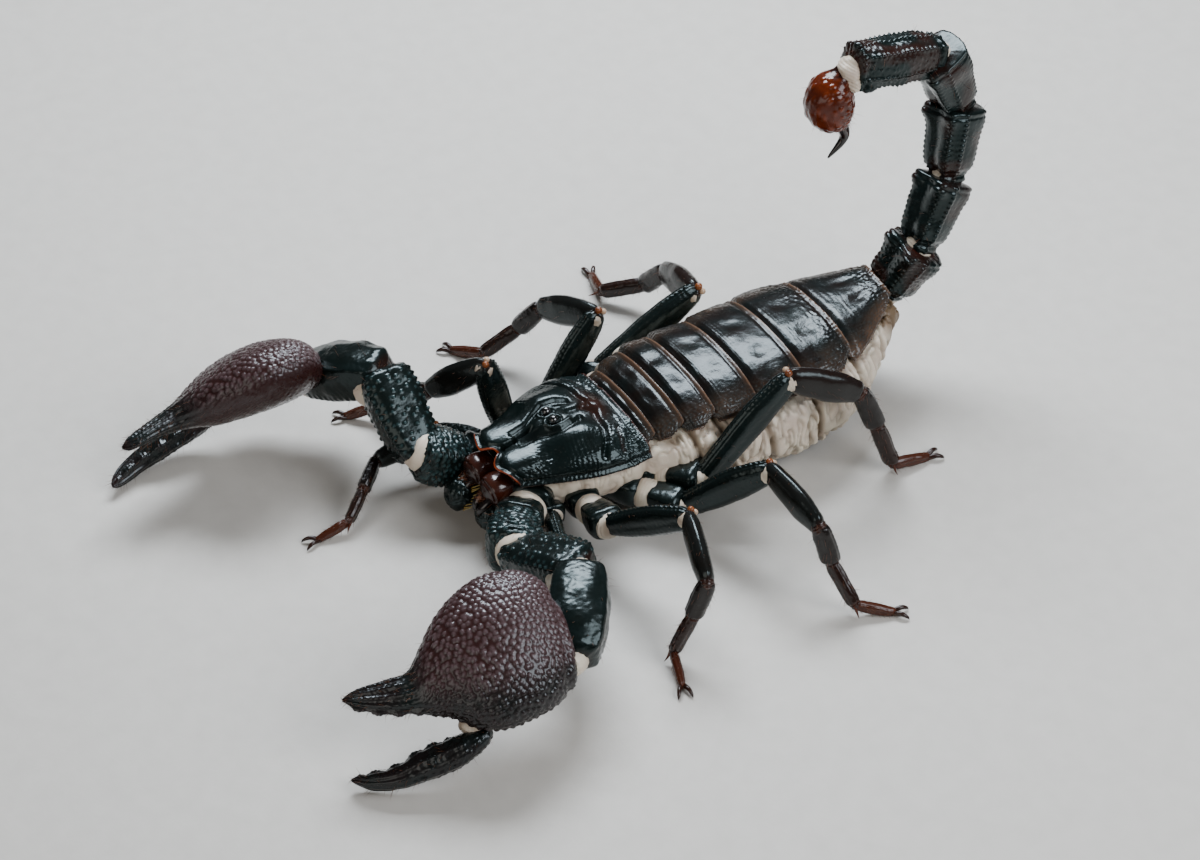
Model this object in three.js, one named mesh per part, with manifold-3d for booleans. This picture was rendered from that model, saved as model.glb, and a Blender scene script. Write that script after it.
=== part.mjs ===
// A life-size emperor scorpion, heavy with young, as a still display model: tail raised, claws forward.
// Millimetres, +Z up. She faces -Y, her left side is +X, and she rests on the plane z = 0.
// The shape is worked out about the floor point under the middle of her carapace's rear edge, and is
// moved at the end so that the frame's origin is the bottom centre of the whole model's box.
import * as THREE from "three";
import { mergeVertices } from "three/addons/utils/BufferGeometryUtils.js";
import Module from "manifold-3d";

const wasm = await Module();
wasm.setup();

// ---- Driving dimensions ----

const GAP = 0.3; // clearance between neighbouring pieces
const PLATE = 0.8; // thickness of the shell plates
const TURN = 1.2; // length over which a bent limb turns at a joint
const TOE_HEIGHT = 0.25; // of the middle of each foot's tip, low enough for the floor to trim it flat
const LIMB_SIDES = 8;
const HAND_SIDES = 14;
const ARM_SIDES = 10;
const TAIL_SIDES = 10;
const BODY_SIDES = 20;

// Abdomen, front to back: [y, sideways shift, half-width, crown height, belly height, equator height]
const ABDOMEN = [
  [-1, 0.2, 12.2, 15.2, 3.2, 9.6],
  [7, 0.8, 15.0, 18.4, 2.6, 9.4],
  [13, 1.4, 15.8, 19.5, 0.8, 8.9],
  [21, 1.9, 16.2, 20.1, -0.4, 8.6],
  [30, 2.1, 16.8, 20.3, -0.5, 8.6],
  [38, 1.7, 15.8, 20.2, -0.3, 9.2],
  [44, 1.1, 13.2, 20.0, 1.5, 10.5],
  [50, 0.5, 9.6, 19.9, 5.5, 12.5],
  [57, 0.0, 6.0, 20.0, 10.8, 15.4],
];
const ABDOMEN_ROUNDNESS = 2.4; // exponent of its superelliptic section
const TERGITE_REARS = [2.2, 7.0, 12.7, 20.6, 30.6, 41.6, 56.4]; // rear edge of each back plate
const TERGITE_SIDE = 40; // degrees above the equator at which a back plate ends

// Carapace, front to back: [y, half-width, rim height, crown height]
const CARAPACE = [
  [-26, 5.8, 12.4, 13.8],
  [-22, 7.4, 12.5, 15.4],
  [-17, 9.5, 12.5, 16.9],
  [-12, 11.3, 12.5, 17.9],
  [-6, 12.5, 12.4, 17.6],
  [0, 12.0, 12.0, 15.6],
];
const CARAPACE_FRONT = -25.6;
const NOTCH_DEPTH = 2.4;
const NOTCH_HALF_WIDTH = 1.6;
const EYE_PLACE = [1.25, -12.9, 18.5]; // left median eye
const EYE_RADIUS = 0.85;

// Where each limb's base leaves the middle of the underside, on the left side, and its radius
const BASES = {
  1: { root: [3.2, -17.5, 5.4], radius: 2.1 },
  2: { root: [4.0, -12.5, 5.2], radius: 2.6 },
  3: { root: [4.4, -6.8, 5.2], radius: 2.8 },
  4: { root: [4.6, -3.0, 5.2], radius: 2.9 },
  arm: { root: [3.8, -17.5, 6.8], radius: 3.6 },
};

// Pincers before the mouth: the left one's place, then [distance forward, half-width, above, below]
const CHELICERA_PLACE = [2.9, -21.4, 10.4];
const CHELICERA = [
  [0, 1.9, 1.7, 2.0],
  [1.4, 2.4, 2.2, 2.5],
  [3.4, 2.6, 2.5, 2.9],
  [5.2, 2.4, 2.2, 2.7],
  [6.4, 1.9, 1.5, 2.2],
];

// Combs under the belly, on the left side
const PECTEN = { root: [2.4, 4.6], tip: [11.4, 10.4], height: 0.5, thickness: 0.8, width: 1.6, teeth: 7 };

// Legs: segment lengths of each pair, and a factor for their thickness
const LEG_LENGTHS = {
  1: { femur: 12.5, patella: 12.3, tibia: 6.4, basitarsus: 6.2, tarsus: 6.4, girth: 0.85 },
  2: { femur: 18.0, patella: 13.8, tibia: 7.8, basitarsus: 7.3, tarsus: 6.7, girth: 0.93 },
  3: { femur: 18.7, patella: 14.6, tibia: 7.6, basitarsus: 8.2, tarsus: 7.1, girth: 1.0 },
  4: { femur: 23.2, patella: 14.6, tibia: 8.7, basitarsus: 8.7, tarsus: 7.9, girth: 1.05 },
};

// Each leg's pose: its hip, then the heading (0 is +X, 90 is +Y) and rise of every segment, in degrees
const LEG_POSES = {
  left_1: {
    hip: [10.4, -19.0, 6.2],
    turns: [[-20, 5], [-80, -17], [-75, -14], [-72, -10], [-70, -6]],
  },
  left_2: {
    hip: [19.6, -13.3, 8.8],
    turns: [[28, 31], [-20, -8], [-115, -73], [-91, -61], [-19, -16]],
  },
  left_3: {
    hip: [19.5, 1.9, 5.6],
    turns: [[45, 38], [1, -6], [33, -71], [15, -48], [58, -14]],
  },
  left_4: {
    hip: [17.9, 6.6, 8.2],
    turns: [[88, 43], [73, -25], [64, -67], [41, -68], [84, -13]],
  },
  right_1: {
    hip: [-10.4, -15.9, 4.4],
    turns: [[-127, 14], [-90, -6], [-50, -15], [-54, -20], [-94, -15]],
  },
  right_2: {
    hip: [-15.2, -13.0, 4.0],
    turns: [[-78, 75], [-141, -40], [-167, -35], [-142, -40], [-123, -21]],
  },
  right_3: {
    hip: [-17.5, -3.4, 4.2],
    turns: [[92, 55], [-163, -24], [-140, -53], [-114, -38], [-148, -15]],
  },
  right_4: {
    hip: [-17.8, 7.2, 5.7],
    turns: [[85, 31], [171, -23], [-172, -49], [-133, -20], [163, -11]],
  },
};

// Claw-bearing limbs: segment lengths, then each side's pose
const ARM_LENGTHS = { trochanter: 9.0, femur: 16.0, patella: 17.4 };
const ARM_POSES = {
  left: {
    root: [11.5, -26.2, 8.8],
    turns: [[-36, 12], [19, 20], [-36, -12]],
    hand: { heading: -108, rise: 2, roll: 30 },
  },
  right: {
    root: [-9.1, -24.8, 7.2],
    turns: [[-100, 24], [179, 34], [207, -24]],
    hand: { heading: -86, rise: 4, roll: 42 },
  },
};

// Hand, from the wrist forward: [distance, inner edge, outer edge, rise of the back, depth of the palm]
const HAND = [
  [-0.4, 2.0, -2.6, 1.6, -1.6],
  [0.8, 7.5, -3.8, 4.2, -2.6],
  [2.6, 12.2, -5.6, 5.8, -3.0],
  [5.5, 14.8, -7.4, 7.2, -3.4],
  [9.0, 15.6, -8.6, 7.9, -3.6],
  [13.0, 15.2, -9.4, 7.8, -3.6],
  [17.0, 13.4, -8.6, 6.9, -3.4],
  [20.5, 10.4, -6.4, 5.6, -3.0],
  [23.8, 6.2, -5.3, 4.2, -2.4],
  [26.3, 2.3, -4.6, 3.0, -2.2],
  [29.5, 1.5, -4.2, 2.3, -2.2],
  [33.5, 1.0, -3.0, 1.3, -2.2],
  [36.0, 0.4, -1.6, 0.3, -1.9],
  [37.3, -0.2, -0.8, -0.5, -1.2],
];
const HAND_ROUNDNESS = 2.2;

// Moving finger, from its hinge forward, measured as the hand is
const FINGER = [
  [14.6, -7.8, -10.2, 0.6, -2.4],
  [17.0, -8.4, -12.0, 1.0, -3.2],
  [20.0, -8.6, -13.6, 0.6, -4.0],
  [23.0, -9.4, -14.3, -0.2, -4.6],
  [26.5, -10.2, -14.8, -1.2, -5.4],
  [30.5, -11.8, -15.1, -2.4, -6.2],
  [34.5, -12.0, -14.3, -4.0, -7.2],
  [37.3, -11.7, -12.5, -5.9, -7.3],
];

// Tail: joints down the middle plane by length, heading and rise, and the half-sizes of each segment
const TAIL_ROOT = [-0.1, 57.7, 16.2];
const TAIL = [
  { length: 10.4, heading: 72, rise: 58, halfWidth: 5.0, halfHeight: 4.4 },
  { length: 13.4, heading: 106, rise: 60, halfWidth: 4.4, halfHeight: 4.3 },
  { length: 13.5, heading: 130, rise: 70, halfWidth: 4.4, halfHeight: 4.5 },
  { length: 14.6, heading: -87, rise: 66, halfWidth: 4.3, halfHeight: 4.6 },
  { length: 19.0, heading: -91, rise: 11, halfWidth: 3.8, halfHeight: 3.9 },
];
// The last joint's bulb, the root of the sting, its bend and its point: [back along +Y, up] from the joint
const TELSON = [
  [-3.5, -5.8],
  [-0.9, -11.2],
  [0.0, -14.4],
  [-3.0, -17.4],
];
const BULB_RADIUS = 4.3;

// ---- Finishes ----

const finish = (colour, roughness) =>
  new THREE.MeshStandardMaterial({ color: colour, roughness, metalness: 0 });
const FINISHES = {
  shell: finish("#0f1614", 0.25),
  handShell: finish("#2c1412", 0.35),
  brownShell: finish("#2a1510", 0.3),
  membrane: finish("#d8ccbb", 0.55),
  telson: finish("#7a2412", 0.35),
  eye: finish("#050505", 0.08),
};

// ---- Shapes ----

const point = (x, y, z) => new THREE.Vector3(x, y, z);
const rad = THREE.MathUtils.degToRad;
const UP = point(0, 0, 1);

// A unit vector from a heading and a rise in degrees.
function direction(heading, rise) {
  const flat = Math.cos(rad(rise));
  return point(flat * Math.cos(rad(heading)), flat * Math.sin(rad(heading)), Math.sin(rad(rise)));
}

// One column of a table at t: a smooth curve through its rows, whose first column is t.
function along(rows, t, column) {
  const last = rows.length - 1;
  let i = 0;
  while (i < last - 1 && rows[i + 1][0] < t) i += 1;
  const slope = (k) => {
    const a = rows[Math.max(k - 1, 0)];
    const b = rows[Math.min(k + 1, last)];
    return (b[column] - a[column]) / (b[0] - a[0]);
  };
  const span = rows[i + 1][0] - rows[i][0];
  const s = THREE.MathUtils.clamp((t - rows[i][0]) / span, 0, 1);
  const rise = rows[i + 1][column] - rows[i][column];
  const ease = s * s * (3 - 2 * s);
  const leave = s * (1 - s) * (1 - s) * span * slope(i);
  const arrive = s * s * (1 - s) * span * slope(i + 1);
  return rows[i][column] + ease * rise + leave - arrive;
}

// |value| to a power, with its sign kept.
const signedPower = (value, power) => Math.sign(value) * Math.abs(value) ** power;

// A closed superelliptic ring about a centre, in the plane of two unit vectors.
function ring({ centre, side, up, halfWidth, above, below = above, power = 2, count = LIMB_SIDES }) {
  return Array.from({ length: count }, (_, k) => {
    const angle = (2 * Math.PI * (k + 0.5)) / count;
    const across = signedPower(Math.cos(angle), 2 / power) * halfWidth;
    const tall = signedPower(Math.sin(angle), 2 / power);
    return centre
      .clone()
      .addScaledVector(side, across)
      .addScaledVector(up, tall * (tall > 0 ? above : below));
  });
}

// A closed solid from triangles, turned so that its faces point out.
function solidOf(points, triangles) {
  const flat = new Float32Array(points.flatMap((p) => [p.x, p.y, p.z]));
  let volume = 0;
  for (const [a, b, c] of triangles) {
    volume += points[a].dot(points[b].clone().cross(points[c]));
  }
  const facing = volume < 0 ? triangles.map(([a, b, c]) => [a, c, b]) : triangles;
  const geometry = new THREE.BufferGeometry();
  geometry.setAttribute("position", new THREE.BufferAttribute(flat, 3));
  geometry.setIndex(facing.flat());
  const merged = mergeVertices(geometry, 1e-4);
  return new wasm.Manifold(
    new wasm.Mesh({
      numProp: 3,
      vertProperties: merged.attributes.position.array,
      triVerts: new Uint32Array(merged.index.array),
    }),
  );
}

// A solid skinned over rings of equal count, with both ends closed by fans.
function loft(rings) {
  const count = rings[0].length;
  const points = rings.flat();
  const triangles = [];
  for (let j = 0; j + 1 < rings.length; j += 1) {
    for (let k = 0; k < count; k += 1) {
      const a = j * count + k;
      const b = j * count + ((k + 1) % count);
      triangles.push([a, b, a + count], [b, b + count, a + count]);
    }
  }
  const close = (start, flip) => {
    const middle = points.slice(start, start + count).reduce((sum, p) => sum.add(p), point(0, 0, 0));
    points.push(middle.divideScalar(count));
    for (let k = 0; k < count; k += 1) {
      const edge = [start + k, start + ((k + 1) % count)];
      triangles.push([points.length - 1, edge[flip ? 1 : 0], edge[flip ? 0 : 1]]);
    }
  };
  close(0, true);
  close((rings.length - 1) * count, false);
  return solidOf(points, triangles);
}

// A plate: an outer and an inner grid of points, of the same rows and columns, joined round the rim.
function plate(outer, inner) {
  const rows = outer.length;
  const columns = outer[0].length;
  const points = [...outer.flat(), ...inner.flat()];
  const offset = rows * columns;
  const triangles = [];
  const quad = (a, b, c, d) => triangles.push([a, b, c], [a, c, d]);
  for (let j = 0; j + 1 < rows; j += 1) {
    for (let k = 0; k + 1 < columns; k += 1) {
      const a = j * columns + k;
      quad(a, a + 1, a + columns + 1, a + columns);
      quad(offset + a, offset + a + columns, offset + a + columns + 1, offset + a + 1);
    }
  }
  const rim = [];
  for (let k = 0; k < columns; k += 1) rim.push(k);
  for (let j = 1; j < rows; j += 1) rim.push(j * columns + columns - 1);
  for (let k = columns - 2; k >= 0; k -= 1) rim.push((rows - 1) * columns + k);
  for (let j = rows - 2; j > 0; j -= 1) rim.push(j * columns);
  rim.forEach((a, i) => {
    const b = rim[(i + 1) % rim.length];
    quad(b, a, offset + a, offset + b);
  });
  return solidOf(points, triangles);
}

// The part of a solid behind a plane: the side that `normal` points away from, less half a gap.
function trimmed(solid, at, normal) {
  const n = normal.clone().normalize();
  return solid.trimByPlane([-n.x, -n.y, -n.z], GAP / 2 - n.dot(at));
}

const aboveFloor = (solid) => solid.trimByPlane([0, 0, 1], 0);

// The mirrored copy of a left-side place, for a limb's side.
const onSide = ([x, y, z], side) => point(side === "left" ? x : -x, y, z);

// The end points of a chain of segments, from its root.
function chain(root, lengths, turns) {
  const ends = [point(...root)];
  turns.forEach(([heading, rise], i) => {
    ends.push(ends[i].clone().addScaledVector(direction(heading, rise), lengths[i]));
  });
  return ends;
}

// The unit vector that halves the bend at a joint.
function bisector(before, at, after) {
  const arriving = at.clone().sub(before).normalize();
  const leaving = after.clone().sub(at).normalize();
  return arriving.add(leaving).normalize();
}

// A straight limb segment. Stations are [share of the length, half-width, half-height, lift], and run a
// little past both ends, so that the planes of the joints can trim it.
function segment(from, to, stations, { count = LIMB_SIDES, power = 2.4, upwards = UP, grow = 0 } = {}) {
  const axis = to.clone().sub(from);
  const side = axis.clone().cross(upwards).normalize();
  const up = side.clone().cross(axis).normalize();
  return loft(
    stations.map(([share, halfWidth, halfHeight, lift = 0]) =>
      ring({
        centre: from.clone().addScaledVector(axis, share).addScaledVector(up, lift),
        side,
        up,
        halfWidth: halfWidth + grow,
        above: halfHeight + grow,
        power,
        count,
      }),
    ),
  );
}

// A solid carried along a bent line of points, turning smoothly at each. Stations are
// [length along the line, half-width, half-height].
function carried(line, stations, { count = LIMB_SIDES, power = 2.2, turn = TURN, upwards = UP } = {}) {
  const lengths = line.slice(1).map((p, i) => p.distanceTo(line[i]));
  const at = (run) => {
    let i = 0;
    let left = run;
    while (i < lengths.length - 1 && left > lengths[i]) {
      left -= lengths[i];
      i += 1;
    }
    return line[i].clone().lerp(line[i + 1], left / lengths[i]);
  };
  return loft(
    stations.map(([run, halfWidth, halfHeight]) => {
      const axis = at(run + turn).sub(at(run - turn)).normalize();
      const side = axis.clone().cross(upwards).normalize();
      const up = side.clone().cross(axis);
      return ring({ centre: at(run), side, up, halfWidth, above: halfHeight, power, count });
    }),
  );
}

// ---- Abdomen and back plates ----

// A point of the abdomen's section at y, at an angle in degrees from the left side, pushed out by `out`.
function abdomenPoint(y, angle, out) {
  const [shift, halfWidth, crown, belly, equator] = [1, 2, 3, 4, 5].map((c) => along(ABDOMEN, y, c));
  const across = signedPower(Math.cos(rad(angle)), 2 / ABDOMEN_ROUNDNESS);
  const tall = signedPower(Math.sin(rad(angle)), 2 / ABDOMEN_ROUNDNESS);
  const height = tall > 0 ? crown - equator : equator - belly;
  return point(shift + across * (halfWidth + out), y, equator + tall * (height + out));
}

// The soft body, set back under the back plates, and cut square to the bend at the root of the tail.
function abdomen() {
  const depth = -(PLATE + 2 * GAP);
  const stations = [0.2, 3, 7, 13, 21, 30, 38, 44, 50, 59];
  const rings = stations.map((y) =>
    Array.from({ length: BODY_SIDES }, (_, k) => {
      const angle = (360 * (k + 0.5)) / BODY_SIDES;
      const covered = THREE.MathUtils.smoothstep(Math.sin(rad(angle)), 0.2, 0.5);
      return abdomenPoint(y, angle, covered * depth);
    }),
  );
  return trimmed(aboveFloor(loft(rings)), tailJoints[0], tailBend);
}

function tergite(index) {
  const rear = TERGITE_REARS[index];
  const front = (index ? TERGITE_REARS[index - 1] : GAP) + (index ? GAP : 0);
  const steps = 10;
  const rows = index < 4 ? 2 : 3;
  const grid = (out) =>
    Array.from({ length: rows }, (_, j) => {
      const y = front + ((rear - front) * j) / (rows - 1);
      const spread = 180 - 2 * TERGITE_SIDE;
      return Array.from({ length: steps + 1 }, (_, k) =>
        abdomenPoint(y, TERGITE_SIDE + (spread * k) / steps, out),
      );
    });
  return plate(grid(0), grid(-PLATE));
}

// ---- Prosoma ----

// The carapace's surface: `angle` runs over the back from the left rim (0) to the right rim (180),
// and `share` from the front edge (0) to the rear edge (1).
function carapacePoint(angle, share, drop) {
  const across = signedPower(Math.cos(rad(angle)), 2 / 2.4);
  const halfFront = along(CARAPACE, CARAPACE_FRONT, 1);
  const notch = NOTCH_DEPTH * Math.exp(-(((across * halfFront) / NOTCH_HALF_WIDTH) ** 2));
  const front = CARAPACE_FRONT + notch + 2.6 * Math.abs(across) ** 3;
  const y = THREE.MathUtils.lerp(front, -GAP / 2, share);
  const [halfWidth, rim, crown] = [1, 2, 3].map((c) => along(CARAPACE, y, c));
  const tall = Math.abs(Math.sin(rad(angle))) ** (2 / 2.4);
  return point(across * (halfWidth - drop), y, rim - drop * 0.3 + tall * (crown - rim - drop * 0.7));
}

// The back shield, with the low mound that carries the two middle eyes in pockets.
function carapace() {
  const grid = (drop) =>
    Array.from({ length: 8 }, (_, j) =>
      Array.from({ length: 13 }, (_, k) => carapacePoint((180 * k) / 12, j / 7, drop)),
    );
  const mound = ball(point(0, EYE_PLACE[1] - 0.2, EYE_PLACE[2] - 0.8), [1.7, 2.6, 1.0]);
  const pocket = EYE_RADIUS + GAP;
  const pockets = [1, -1].map((sign) => ball(eyeCentre(sign), [pocket, pocket, pocket]));
  return pockets.reduce((shell, hollow) => shell.subtract(hollow), plate(grid(0), grid(PLATE)).add(mound));
}

// An ellipsoid about a centre.
function ball(centre, [x, y, z]) {
  const sphere = new THREE.SphereGeometry(1, 8, 6);
  sphere.scale(x, y, z);
  sphere.translate(centre.x, centre.y, centre.z);
  return fromGeometry(sphere);
}

const eyeCentre = (sign) => point(sign * EYE_PLACE[0], EYE_PLACE[1], EYE_PLACE[2]);

// The base of a limb, from the underside out to the limb's first joint.
function limbBase({ inner, outer, next, radius }, grow = 0) {
  const past = radius / outer.distanceTo(inner);
  const base = segment(
    inner,
    outer,
    [
      [0, radius * 0.9, radius * 0.85],
      [1 + past, radius, radius],
    ],
    { power: 2.2, count: 6, grow },
  );
  return trimmed(base, outer, bisector(inner, outer, next));
}

// The solid under the carapace, between the limbs' bases.
function undersideCore() {
  const stations = [
    [-21.0, 5.6, 11.6, 5.5],
    [-18, 7.6, 13.4, 4.0],
    [-14, 9.0, 14.8, 3.0],
    [-7, 10.4, 15.2, 2.6],
    [-GAP / 2, 10.4, 13.6, 2.6],
  ];
  return loft(
    stations.map(([y, halfWidth, crown, belly]) =>
      ring({
        centre: point(0, y, 9),
        side: point(1, 0, 0),
        up: UP,
        halfWidth,
        above: crown - 9,
        below: 9 - belly,
        power: 2.6,
        count: 14,
      }),
    ),
  );
}

// One of the two short pincers that stand out under the front edge of the carapace.
function chelicera(side, grow = 0) {
  const root = onSide(CHELICERA_PLACE, side);
  const sign = Math.sign(root.x);
  const forward = direction(-90, -6);
  const rings = CHELICERA.map(([distance, halfWidth, above, below], i) =>
    ring({
      centre: root.clone().addScaledVector(forward, distance + (i ? grow : -grow)),
      side: point(1, 0, 0),
      up: UP,
      halfWidth: halfWidth + grow,
      above: above + grow,
      below: below + grow,
      power: 2.2,
      count: 8,
    }),
  );
  const jaw = (across, reach) =>
    carried(
      [
        root.clone().add(point(sign * across, -5.6, -0.9)),
        root.clone().add(point(sign * across * 1.15, -7.4, -1.8)),
        root.clone().add(point(sign * across * 0.5, -7.4 - reach * 0.7, -1.8 - reach)),
      ],
      [
        [-0.4, 0.95 + grow, 1.2 + grow],
        [1.6, 0.8 + grow, 1.0 + grow],
        [2.6 + reach * 0.6, 0.3 + grow, 0.35 + grow],
      ],
      { count: 6 },
    );
  return loft(rings).add(jaw(-0.85, 1.2)).add(jaw(1.0, 1.6));
}

// A comb: a thin bar below the belly with a row of blunt teeth along its rear edge.
function pecten(side) {
  const root = onSide([...PECTEN.root, PECTEN.height], side);
  const tip = onSide([...PECTEN.tip, PECTEN.height], side);
  const length = root.distanceTo(tip);
  const outline = new THREE.Shape();
  outline.moveTo(0, 0);
  for (let i = 0; i < PECTEN.teeth; i += 1) {
    const pitch = length / PECTEN.teeth;
    outline.lineTo((i + 0.08) * pitch, PECTEN.width);
    outline.lineTo((i + 0.6) * pitch, PECTEN.width);
    outline.lineTo((i + 0.7) * pitch, PECTEN.width * 0.45);
    outline.lineTo((i + 0.98) * pitch, PECTEN.width * 0.45);
  }
  outline.lineTo(length, 0);
  outline.lineTo(length * 0.5, -PECTEN.width * 0.35);
  const comb = new THREE.ExtrudeGeometry(outline, { depth: PECTEN.thickness, bevelEnabled: false });
  const lengthwise = tip.clone().sub(root).normalize();
  const back = UP.clone().cross(lengthwise);
  const turn = new THREE.Matrix4().makeBasis(lengthwise, side === "left" ? back : back.negate(), UP);
  comb.applyMatrix4(turn).translate(root.x, root.y, root.z);
  return fromGeometry(comb);
}

// A solid from one of three's closed shapes.
function fromGeometry(geometry) {
  const source = geometry.index ? geometry.toNonIndexed() : geometry;
  const at = source.attributes.position;
  const points = Array.from({ length: at.count }, (_, i) => new THREE.Vector3().fromBufferAttribute(at, i));
  return solidOf(points, Array.from({ length: at.count / 3 }, (_, i) => [3 * i, 3 * i + 1, 3 * i + 2]));
}

// ---- Legs ----

function legPieces(name) {
  const [side, pair] = name.split("_");
  const size = LEG_LENGTHS[pair];
  const { hip, turns } = LEG_POSES[name];
  const lengths = [size.femur, size.patella, size.tibia, size.basitarsus, size.tarsus];
  const [a, b, c, d, e, f] = chain(hip, lengths, turns);
  f.z = TOE_HEIGHT;
  const g = size.girth;
  const base = { inner: onSide(BASES[pair].root, side), outer: a, next: b, radius: BASES[pair].radius };
  const femurStations = [
    [-0.1, 1.9 * g, 2.2 * g],
    [0.25, 1.8 * g, 2.7 * g],
    [0.6, 1.8 * g, 3.0 * g],
    [0.9, 1.7 * g, 2.5 * g],
    [1.12, 1.6 * g, 2.1 * g],
  ];
  const patella = segment(b, c, [
    [-0.15, 1.5 * g, 1.9 * g],
    [0.3, 1.8 * g, 2.9 * g],
    [0.65, 1.8 * g, 2.9 * g],
    [0.9, 1.6 * g, 2.3 * g],
    [1.12, 1.4 * g, 1.8 * g],
  ]);
  const [t, u, v] = [size.tibia, size.basitarsus, size.tarsus];
  const foot = carried(
    [c, d, e, f],
    [
      [-1.5, 1.3 * g, 1.5 * g],
      [t * 0.6, 1.45 * g, 1.75 * g],
      [t - 0.6, 1.3 * g, 1.5 * g],
      [t + 0.6, 1.2 * g, 1.35 * g],
      [t + u * 0.5, 1.25 * g, 1.5 * g],
      [t + u - 0.6, 1.1 * g, 1.3 * g],
      [t + u + 0.6, 0.95 * g, 1.1 * g],
      [t + u + v * 0.6, 0.8 * g, 0.9 * g],
      [t + u + v, 0.35 * g, 0.45 * g],
    ],
  );
  const knee = bisector(a, b, c);
  const ankle = bisector(b, c, d);
  const hipPlane = bisector(base.inner, a, b).negate();
  const femur = (grow) => trimmed(trimmed(segment(a, b, femurStations, { grow }), b, knee), a, hipPlane);
  return {
    base,
    femur: femur(0),
    femurRoom: femur(GAP),
    patella: trimmed(trimmed(patella, b, knee.clone().negate()), c, ankle),
    foot: aboveFloor(trimmed(foot, c, ankle.clone().negate())),
  };
}

// ---- Claw-bearing limbs ----

// The hand's own axes: forward, towards its inner edge, and out of its back.
function handFrame(side) {
  const { heading, rise, roll } = ARM_POSES[side].hand;
  const forward = direction(heading, rise);
  const level = UP.clone().cross(forward).normalize();
  if (side === "left") level.negate();
  const lifted = forward.clone().cross(level);
  if (side === "left") lifted.negate();
  const [cos, sin] = [Math.cos(rad(roll)), Math.sin(rad(roll))];
  const inner = level.clone().multiplyScalar(cos).addScaledVector(lifted, sin);
  const back = level.clone().multiplyScalar(-sin).addScaledVector(lifted, cos);
  return { forward, inner, back };
}

// A solid skinned over rows of [distance, inner edge, outer edge, back, palm] from a wrist.
function handLoft(rows, wrist, { forward, inner, back }, count) {
  return loft(
    rows.map(([distance, innerEdge, outerEdge, rise, depth]) => {
      const level = (rise + depth) / 2;
      const centre = wrist
        .clone()
        .addScaledVector(forward, distance)
        .addScaledVector(inner, (innerEdge + outerEdge) / 2)
        .addScaledVector(back, level);
      return ring({
        centre,
        side: inner,
        up: back,
        halfWidth: (innerEdge - outerEdge) / 2,
        above: rise - level,
        power: HAND_ROUNDNESS,
        count,
      });
    }),
  );
}

// Rows of the hand or finger, larger all round by a gap.
function grown(rows) {
  return rows.map(([distance, innerEdge, outerEdge, rise, depth], i) => {
    const end = i === 0 ? -GAP : i === rows.length - 1 ? GAP : 0;
    return [distance + end, innerEdge + GAP, outerEdge - GAP, rise + GAP, depth - GAP];
  });
}

function armPieces(side) {
  const { root, turns } = ARM_POSES[side];
  const lengths = [ARM_LENGTHS.trochanter, ARM_LENGTHS.femur, ARM_LENGTHS.patella];
  const [a, b, c, d] = chain(root, lengths, turns);
  const base = { inner: onSide(BASES.arm.root, side), outer: a, next: b, radius: BASES.arm.radius };
  const frame = handFrame(side);
  const count = ARM_SIDES;
  const trochanter = segment(
    a,
    b,
    [
      [-0.2, 3.2, 3.2],
      [0.15, 4.0, 4.0],
      [0.55, 4.7, 4.7],
      [0.9, 4.5, 4.5],
      [1.3, 3.8, 3.8],
    ],
    { count },
  );
  const femur = segment(
    b,
    c,
    [
      [-0.25, 3.2, 3.1],
      [0.08, 3.7, 3.3],
      [0.35, 4.4, 3.7],
      [0.7, 4.7, 3.9],
      [0.95, 4.4, 3.7],
      [1.3, 3.8, 3.3],
    ],
    { count },
  );
  const patella = (grow) =>
    segment(
      c,
      d,
      [
        [-0.25, 3.4, 3.2],
        [0.06, 4.2, 3.8],
        [0.3, 4.9, 4.5],
        [0.6, 4.9, 4.7],
        [0.88, 4.3, 4.1],
        [1.0 + grow / ARM_LENGTHS.patella, 3.2, 3.0],
      ],
      { count, grow },
    );
  const shoulder = bisector(base.inner, a, b);
  const armpit = bisector(a, b, c);
  const elbow = bisector(b, c, d);
  const hand = handLoft(HAND, d, frame, HAND_SIDES);
  const fingerRoom = handLoft(grown(FINGER), d, frame, LIMB_SIDES);
  return {
    base,
    trochanter: trimmed(trimmed(trochanter, b, armpit), a, shoulder.negate()),
    femur: trimmed(trimmed(femur, b, armpit.clone().negate()), c, elbow),
    patella: trimmed(patella(0), c, elbow.clone().negate()),
    manus: aboveFloor(hand.subtract(patella(GAP)).subtract(fingerRoom)),
    movable_finger: aboveFloor(handLoft(FINGER, d, frame, LIMB_SIDES)),
  };
}

// ---- Tail ----

const tailJoints = chain(
  TAIL_ROOT,
  TAIL.map(({ length }) => length),
  TAIL.map(({ heading, rise }) => [heading, rise]),
);

// The plane between body and tail halves the bend from the body's own line to the first segment's.
const tailBend = bisector(point(...TAIL_ROOT).sub(point(0, 1, 0)), tailJoints[0], tailJoints[1]);

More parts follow.
